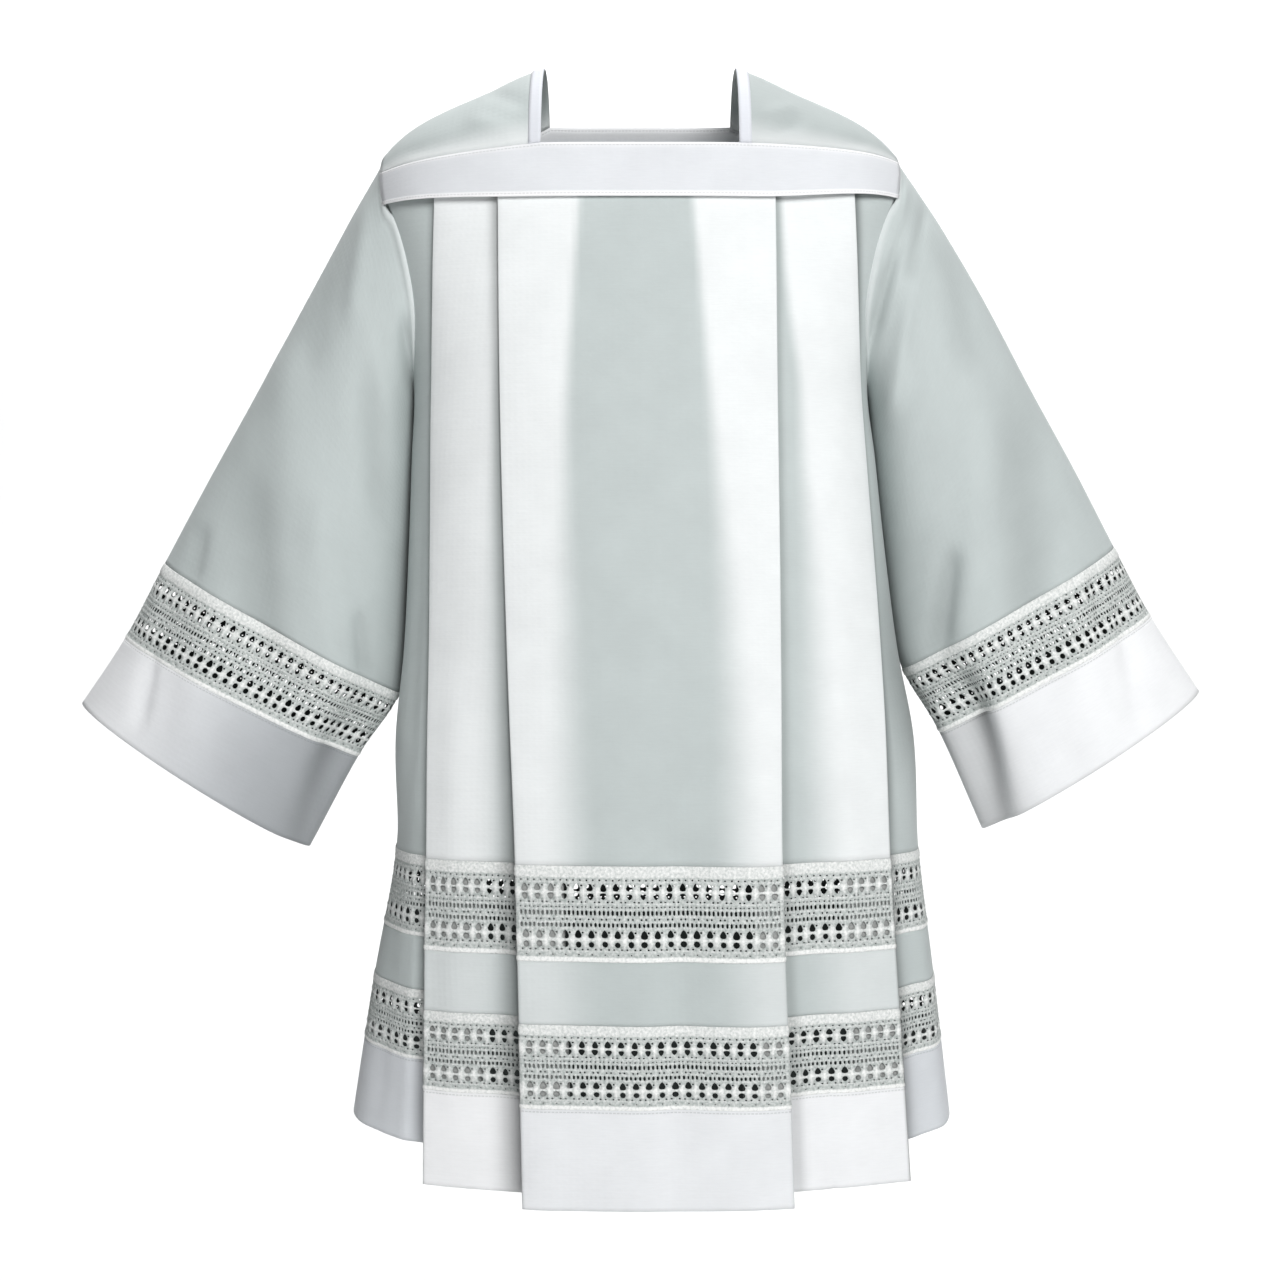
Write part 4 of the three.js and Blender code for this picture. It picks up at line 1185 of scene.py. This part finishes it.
BINDING_LIFT = 0.9
BINDING_WHITENESS = 0.15
for side_name, side in (("left", -1), ("right", 1)):
    grid = shoulder_grid(side, 1 + np.linspace(0, 1, 36))
    from_edge = np.minimum(np.linspace(0, 1, SHOULDER_ROWS), 1 - np.linspace(0, 1, SHOULDER_ROWS))[:, None]
    backing = SEAM_WHITENESS["shoulder"] * (1 - smooth_step(0, 0.12, from_edge))
    folds = crease_height(grid[:, :, 0], grid[:, :, 2], SHOULDER_CREASES) * (grid[:, :, 1] < 0)
    grid = grid + upward_normals(grid) * (folds * smooth_step(0, 0.1, from_edge))[:, :, None]
    piece = grid_shell(f"shoulder_{side_name}_cloth", grid, backing, SINGLE_THICKNESS, single_poplin,
                       HOLLOW, (SHOULDER_SHADE[side_name], 0))
    remember(piece, f"shoulder_{side_name}", "single_cloth", mean_size(grid), "stretched")
    reach_share = BINDING_WIDTH / (YOKE_HALF_WIDTH - NECK_HALF_WIDTH)
    strip = shoulder_grid(side, 1 + np.linspace(0, reach_share, 5))
    strip = strip + upward_normals(strip) * BINDING_LIFT
    piece = grid_shell(f"neck_binding_{side_name}_cloth", strip, BINDING_WHITENESS, DOUBLED_THICKNESS,
                       doubled_poplin, HOLLOW, (0, 0))
    remember(piece, f"neck_binding_{side_name}", "doubled_cloth", mean_size(strip), "stretched")

# %% [markdown]
# Sleeves.
# A bell sleeve is a tube that widens from the armhole to the cuff and hangs flat under the arm. Each ring
# runs from its upper outer point round the front to the lower inner point and back. The first ring is the
# armhole's rim itself, and within one ring's length the tube eases from that oval to its own shape.

# %% Creases in the sleeves, front and back
SLEEVE_CREASES = {
    ("left", -1): [
        (-352, -330, -322, -600, 22, -8.0),
        (-284, -330, -274, -620, 18, 5.5),
        (-249, -480, -243, -556, 7, -5.0),
        (-388, -405, -400, -470, 8, -4.0),
        (-431, -512, -447, -600, 8, -5.0),
        (-242, -250, -226, -430, 11, -5.0),
        (-320, -230, -300, -420, 20, 4.0),
        (-382, -450, -398, -640, 20, 4.0),
        (-424, -440, -440, -520, 9, 2.6),
        (-262, -130, -300, -300, 14, -2.2),
        (-240, -110, -256, -250, 9, 4.0),
        (-209, -220, -202, -310, 5, -6.0),
    ],
    ("left", 1): [
        (-330, -260, -300, -560, 22, -7.0),
        (-280, -380, -268, -640, 16, 5.0),
        (-380, -380, -360, -640, 20, 4.6),
        (-262, -540, -290, -720, 12, -6.0),
        (-420, -470, -436, -600, 9, -4.6),
        (-252, -140, -290, -330, 14, -3.4),
    ],
    ("right", -1): [
        (262, -540, 276, -420, 10, -8.0),
        (330, -260, 352, -600, 24, -7.0),
        (242, -98, 206, -200, 6, 5.0),
        (228, -148, 199, -268, 6, -7.0),
        (240, -190, 218, -330, 9, 5.6),
        (380, -400, 402, -640, 22, 5.4),
        (258, -110, 232, -210, 6, -4.0),
        (424, -460, 446, -600, 10, -4.6),
        (300, -300, 292, -520, 16, 4.6),
        (270, -140, 300, -300, 15, -3.2),
        (398, -440, 408, -520, 8, -3.4),
    ],
    ("right", 1): [
        (320, -250, 330, -560, 22, -6.4),
        (274, -420, 290, -660, 15, 5.0),
        (300, -560, 316, -720, 11, -5.0),
        (390, -360, 404, -620, 20, 4.4),
        (246, -190, 228, -340, 10, -4.6),
        (424, -450, 440, -590, 9, -3.6),
    ],
}


# %% The rim of the armhole
SEAM_LAP = 2
RIM_EASE = 14
ARCH_STEPS = 400


def armhole_rim(side, turns):
    seam = YOKE_BOTTOM + YOKE_END_RISE[side]
    points = []
    for turn in turns:
        y = side * ARMHOLE_HALF_DEPTH * math.sin(turn)
        z = ARMHOLE_Z + ARMHOLE_HALF_HEIGHT * math.cos(turn)
        plan = BodyPlan(z, -1 if y < 0 else 1)
        places = np.linspace(0, plan.half, PLAN_STEPS + 1)
        x_at, y_at = plan.at_place(side * places, 0)
        body_x = float(np.interp(-abs(y), -np.abs(y_at), np.abs(x_at)))
        angles = math.copysign(1, y) * np.arccos(np.linspace(0, 1, ARCH_STEPS))
        ends = across_yoke(np.full(ARCH_STEPS, 2.0), angles)
        rim = yoke_point(ends, angles)
        arch_x = float(np.interp(z, rim[:, 2], rim[:, 0]))
        on_yoke = float(smooth_step(seam - RIM_EASE, seam, z))
        x = body_x + (arch_x - body_x) * on_yoke
        points.append((side * (x - SEAM_LAP), y, z))
    return np.array(points)


SEAM_WELT = 1.7
SEAM_WELT_REACH = 0.14
SLEEVE_TURNS = np.linspace(0, 2 * math.pi, 121)
rims = {name: armhole_rim(side, SLEEVE_TURNS) for name, side in (("left", -1), ("right", 1))}


# %% A ring of the sleeve, and a grid of rings
def sleeve_ring(name, place, turns):
    side = -1 if name == "left" else 1
    outer_x, outer_z, inner_x, inner_z, half_depth, fold = (
        float(read_table(SLEEVES[name], place, column)) for column in range(1, 7))
    body_x, _ = BodyPlan(inner_z, -1).at_angle(side * math.pi / 2, 0)
    inner_x = side * max(side * inner_x, side * float(body_x) + SLEEVE_CLEARANCE)
    centre = np.array([(outer_x + inner_x) / 2, 0, (outer_z + inner_z) / 2])
    reach_out = np.array([(outer_x - inner_x) / 2, 0, (outer_z - inner_z) / 2])
    points = centre + np.cos(turns)[:, None] * reach_out
    points[:, 1] = side * half_depth * np.sin(turns)
    if place < 1:
        rim = np.stack([np.interp(turns, SLEEVE_TURNS, rims[name][:, k]) for k in range(3)], axis=1)
        base = read_ring_start(name, turns)
        points += (rim - base) * (1 - place) ** 2
        outward = points - points.mean(axis=0)
        outward[:, 0] = 0
        outward /= np.linalg.norm(outward, axis=1)[:, None]
        points += outward * (SEAM_WELT * math.sin(math.pi * min(1, place / SEAM_WELT_REACH)))
    inward = centre - points
    inward /= np.linalg.norm(inward, axis=1)[:, None]
    degrees = np.degrees(turns if side < 0 else 2 * math.pi - turns)
    fold_turn = float(read_table(SLEEVE_FOLD[name], place, 1))
    from_fold = np.minimum(np.abs(degrees - fold_turn) / SLEEVE_FOLD_HALF_WIDTH, 1)
    points += inward * (fold * (1 + np.cos(math.pi * from_fold)) / 2)[:, None]
    settled = smooth_step(0, 0.25, place)
    for facing in (-1, 1):
        weight = smooth_step(0.05, 0.5, facing * points[:, 1] / half_depth) * settled
        height = crease_height(points[:, 0], points[:, 2], SLEEVE_CREASES[name, facing])
        points -= inward * (height * weight)[:, None]
    return points


def read_ring_start(name, turns):
    side = -1 if name == "left" else 1
    _, outer_x, outer_z, inner_x, inner_z, half_depth, _ = SLEEVES[name][0]
    x = (outer_x + inner_x) / 2 + np.cos(turns) * (outer_x - inner_x) / 2
    z = (outer_z + inner_z) / 2 + np.cos(turns) * (outer_z - inner_z) / 2
    return np.stack([x, side * half_depth * np.sin(turns), z], axis=1)


def sleeve_grid(name, places, turns):
    return np.array([sleeve_ring(name, place, turns) for place in places])


# %% Painted shade and light of sleeves and cuffs near the body: turn from the inner point, and shares of the way in
INNER_SHADE_TURN = 0.42
INNER_SHADE = {"left": 0.5, "right": 0.35}
CUFF_PAINTED_LIGHT = {"left": (0.8, 0.0), "right": (0.95, 0.8)}
CUFF_SHADE = {"left": (0.2, 0.9, 0.4), "right": (0.72, 0.95, 0.2)}
FOLD_SHADE = {"left": (0.22, 9), "right": (0.42, 8)}
CREASE_SHADE = 0.028
MOUTH_LIGHT = 0.65

# %% Sleeves, their lace and their cuffs
WELT_RINGS = 8
SLEEVE_RINGS = 80
CUFF_RINGS = 18
LACE_RINGS = 20
for name, side in (("left", -1), ("right", 1)):
    places = np.concatenate([np.linspace(0, SEAM_WELT_REACH, WELT_RINGS),
                             np.linspace(0.2, LACE_RING, SLEEVE_RINGS)])
    grid = sleeve_grid(name, places, SLEEVE_TURNS)
    seam = SEAM_WHITENESS["sleeve"] * (1 - smooth_step(0.02, 0.16, places))[:, None]
    # Painted shade along the inner edge and in sunken creases, and on the wrong side, deepest behind.
    from_inner = np.abs(SLEEVE_TURNS - math.pi) / INNER_SHADE_TURN
    crook_shade = INNER_SHADE[name] * smooth_step(1, 3.5, places)[:, None] * np.exp(-from_inner ** 2)
    for facing in (-1, 1):
        height = crease_height(grid[:, :, 0], grid[:, :, 2], SLEEVE_CREASES[name, facing])
        crook_shade = crook_shade + CREASE_SHADE * np.maximum(0, -height) * (facing * grid[:, :, 1] > 0)
    behind = smooth_step(-20, 20, grid[:, :, 1]) * smooth_step(3.5, 4.5, places)[:, None]
    piece = grid_shell(f"sleeve_{name}_cloth", grid, seam, SINGLE_THICKNESS, single_poplin,
                       grid.mean(axis=(0, 1)), (crook_shade, WRONG_SIDE_SHADE + (1 - WRONG_SIDE_SHADE) * behind))
    around, long = row_lengths(grid), column_lengths(grid)
    remember(piece, f"sleeve_{name}", "single_cloth", (around.max() * MM, long.max() * MM), "hung",
             around.mean() * long.mean() * MM * MM)

    grid = sleeve_grid(name, np.linspace(CUFF_RING, CUFF_END, CUFF_RINGS), SLEEVE_TURNS)
    # The cuff's wrong side is in painted shade, lighter towards its mouth.
    shaded = 1 - MOUTH_LIGHT * smooth_step(0.2, 1, np.linspace(0, 1, len(grid)))[:, None]
    inwards = (1 - np.cos(SLEEVE_TURNS)) / 2
    outer_white, inner_white = CUFF_PAINTED_LIGHT[name]
    begins, ends, depth = CUFF_SHADE[name]
    # Painted light and shade: the cuff is whiter on its outer side and greyer towards the body.
    whiteness = outer_white + (inner_white - outer_white) * smooth_step(0.1, 0.8, inwards)
    cuff_shade = depth * smooth_step(begins, ends, inwards)
    fold_depth, fold_width = FOLD_SHADE[name]
    front_turn = np.degrees(SLEEVE_TURNS if side < 0 else 2 * math.pi - SLEEVE_TURNS)
    fold_turn = read_table(SLEEVE_FOLD[name], np.linspace(CUFF_RING, CUFF_END, len(grid)), 1)[:, None]
    fading = np.linspace(1, 0.25, len(grid))[:, None]
    cuff_shade = cuff_shade + fold_depth * fading * np.exp(-((front_turn - fold_turn) / fold_width) ** 2)
    piece = grid_shell(f"cuff_{name}_cloth", grid, whiteness, DOUBLED_THICKNESS, stitched_poplin,
                       grid.mean(axis=(0, 1)), (cuff_shade, shaded))
    remember(piece, f"cuff_{name}", "doubled_cloth", mean_size(grid), "hung")

    halves = ("front", "back") if side < 0 else ("back", "front")
    for order, half in enumerate(halves):
        turns = order * math.pi + np.linspace(0, math.pi, 61)
        grid = sleeve_grid(name, np.linspace(LACE_RING, CUFF_RING, LACE_RINGS), turns)
        # The lace's wrong side is in full painted shade.
        shade = (np.zeros(grid.shape[:2]), np.ones(grid.shape[:2]))
        axis = grid.mean(axis=(0, 1)) * (1, 0, 1)
        stops = [(0, len(turns) - 1)]
        piece = lace_band(f"sleeve_lace_{name}_{half}_openwork", grid, shade, stops, axis, SLEEVE_LACE_PITCH)
        remember(piece, f"sleeve_lace_{name}_{half}", "lace", mean_size(grid), "hung")

# %% [markdown]
# Attaching the pieces.
# Each piece is attached to the body and its solid is hidden. A sheet of cloth is known by the rectangle it
# was cut from, how it is held and, where the cut is not a rectangle, its true area; here only the rectangle
# is printed.

# %% Ride and replace, and print each cut
for piece, node, slot, cut, held, area in pieces:
    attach(piece, "root")
    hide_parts(node)
    print(piece.name, "cut", [round(side, 3) for side in cut], "m")

# %% [markdown]
# Floor, light and camera.
# White cloth needs soft light that still has a direction, or its folds vanish. A pale sky lights it from
# all round, and one large soft box in front and to the right gives the folds their shade. A second box,
# behind the garment, lights only the wall, so that the cloth stands against plain white.

# %% Pale floor that curves up behind
FLOOR_Z = -1.5
FLOOR_HALF_WIDTH = 6.0
FLOOR_FRONT = -4.0
FLOOR_BACK = 2.0
CURVE_RADIUS = 1.6
WALL_HEIGHT = 6.0
floor_profile = [(FLOOR_FRONT, 0.0), (FLOOR_BACK, 0.0)]
for turn in np.linspace(0.1, math.pi / 2, 16):
    up = CURVE_RADIUS - CURVE_RADIUS * math.cos(turn)
    floor_profile.append((FLOOR_BACK + CURVE_RADIUS * math.sin(turn), up))
floor_profile.append((FLOOR_BACK + CURVE_RADIUS, WALL_HEIGHT))
floor_mesh = bpy.data.meshes.new("pale floor")
floor_sides = (-FLOOR_HALF_WIDTH, FLOOR_HALF_WIDTH)
floor_points = [(x, y, FLOOR_Z + up) for x in floor_sides for y, up in floor_profile]
steps = len(floor_profile)
floor_faces = [(k, k + 1, steps + k + 1, steps + k) for k in range(steps - 1)]
floor_mesh.from_pydata(floor_points, [], floor_faces)
floor_mesh.polygons.foreach_set("use_smooth", np.ones(steps - 1, dtype=bool))
floor = bpy.data.objects.new("pale_floor", floor_mesh)
bpy.context.scene.collection.objects.link(floor)
paper = bpy.data.materials.new("matt white paper")
paper.use_nodes = True
paper_surface = paper.node_tree.nodes["Principled BSDF"]
paper_surface.inputs["Base Color"].default_value = linear("#FAFAFA")
paper_surface.inputs["Roughness"].default_value = 0.95
floor_mesh.materials.append(paper)

# %% Soft light
SKY_STRENGTH = 0.13
world = bpy.data.worlds.new("pale sky")
world.use_nodes = True
sky = world.node_tree.nodes["Background"]
sky.inputs["Color"].default_value = linear("#FBFCFF")
sky.inputs["Strength"].default_value = SKY_STRENGTH
bpy.context.scene.world = world


def soft_box(name, place, target, size, power):
    lamp = bpy.data.lights.new(name, "AREA")
    lamp.size = size
    lamp.energy = power
    box = bpy.data.objects.new(name, lamp)
    box.location = place
    box.rotation_euler = (Vector(target) - Vector(place)).to_track_quat("-Z", "Y").to_euler()
    bpy.context.scene.collection.objects.link(box)


soft_box("key soft box", place=(0.64, -2.65, 0.95), target=(0, 0, -0.5), size=1.3, power=78)
soft_box("wall soft box", place=(0, 1.4, 2.6), target=(0, 3.4, -0.4), size=3.0, power=150)

# %% Camera: focal length and shift in pixels of a picture 1280 wide, and place in metres
PICTURE_WIDTH = 1280
FOCAL_PIXELS = 2140
SHIFT_PIXELS = -50
SENSOR_WIDTH = 36
CAMERA_PLACE = (0, -1.948, -0.469)
camera_data = bpy.data.cameras.new("camera")
camera_data.sensor_width = SENSOR_WIDTH
camera_data.lens = SENSOR_WIDTH * FOCAL_PIXELS / PICTURE_WIDTH
camera_data.shift_y = SHIFT_PIXELS / PICTURE_WIDTH
camera = bpy.data.objects.new("camera", camera_data)
camera.location = CAMERA_PLACE
camera.rotation_euler = (math.pi / 2, 0, 0)
bpy.context.scene.collection.objects.link(camera)
bpy.context.scene.camera = camera
bpy.context.scene.view_settings.view_transform = "Standard"
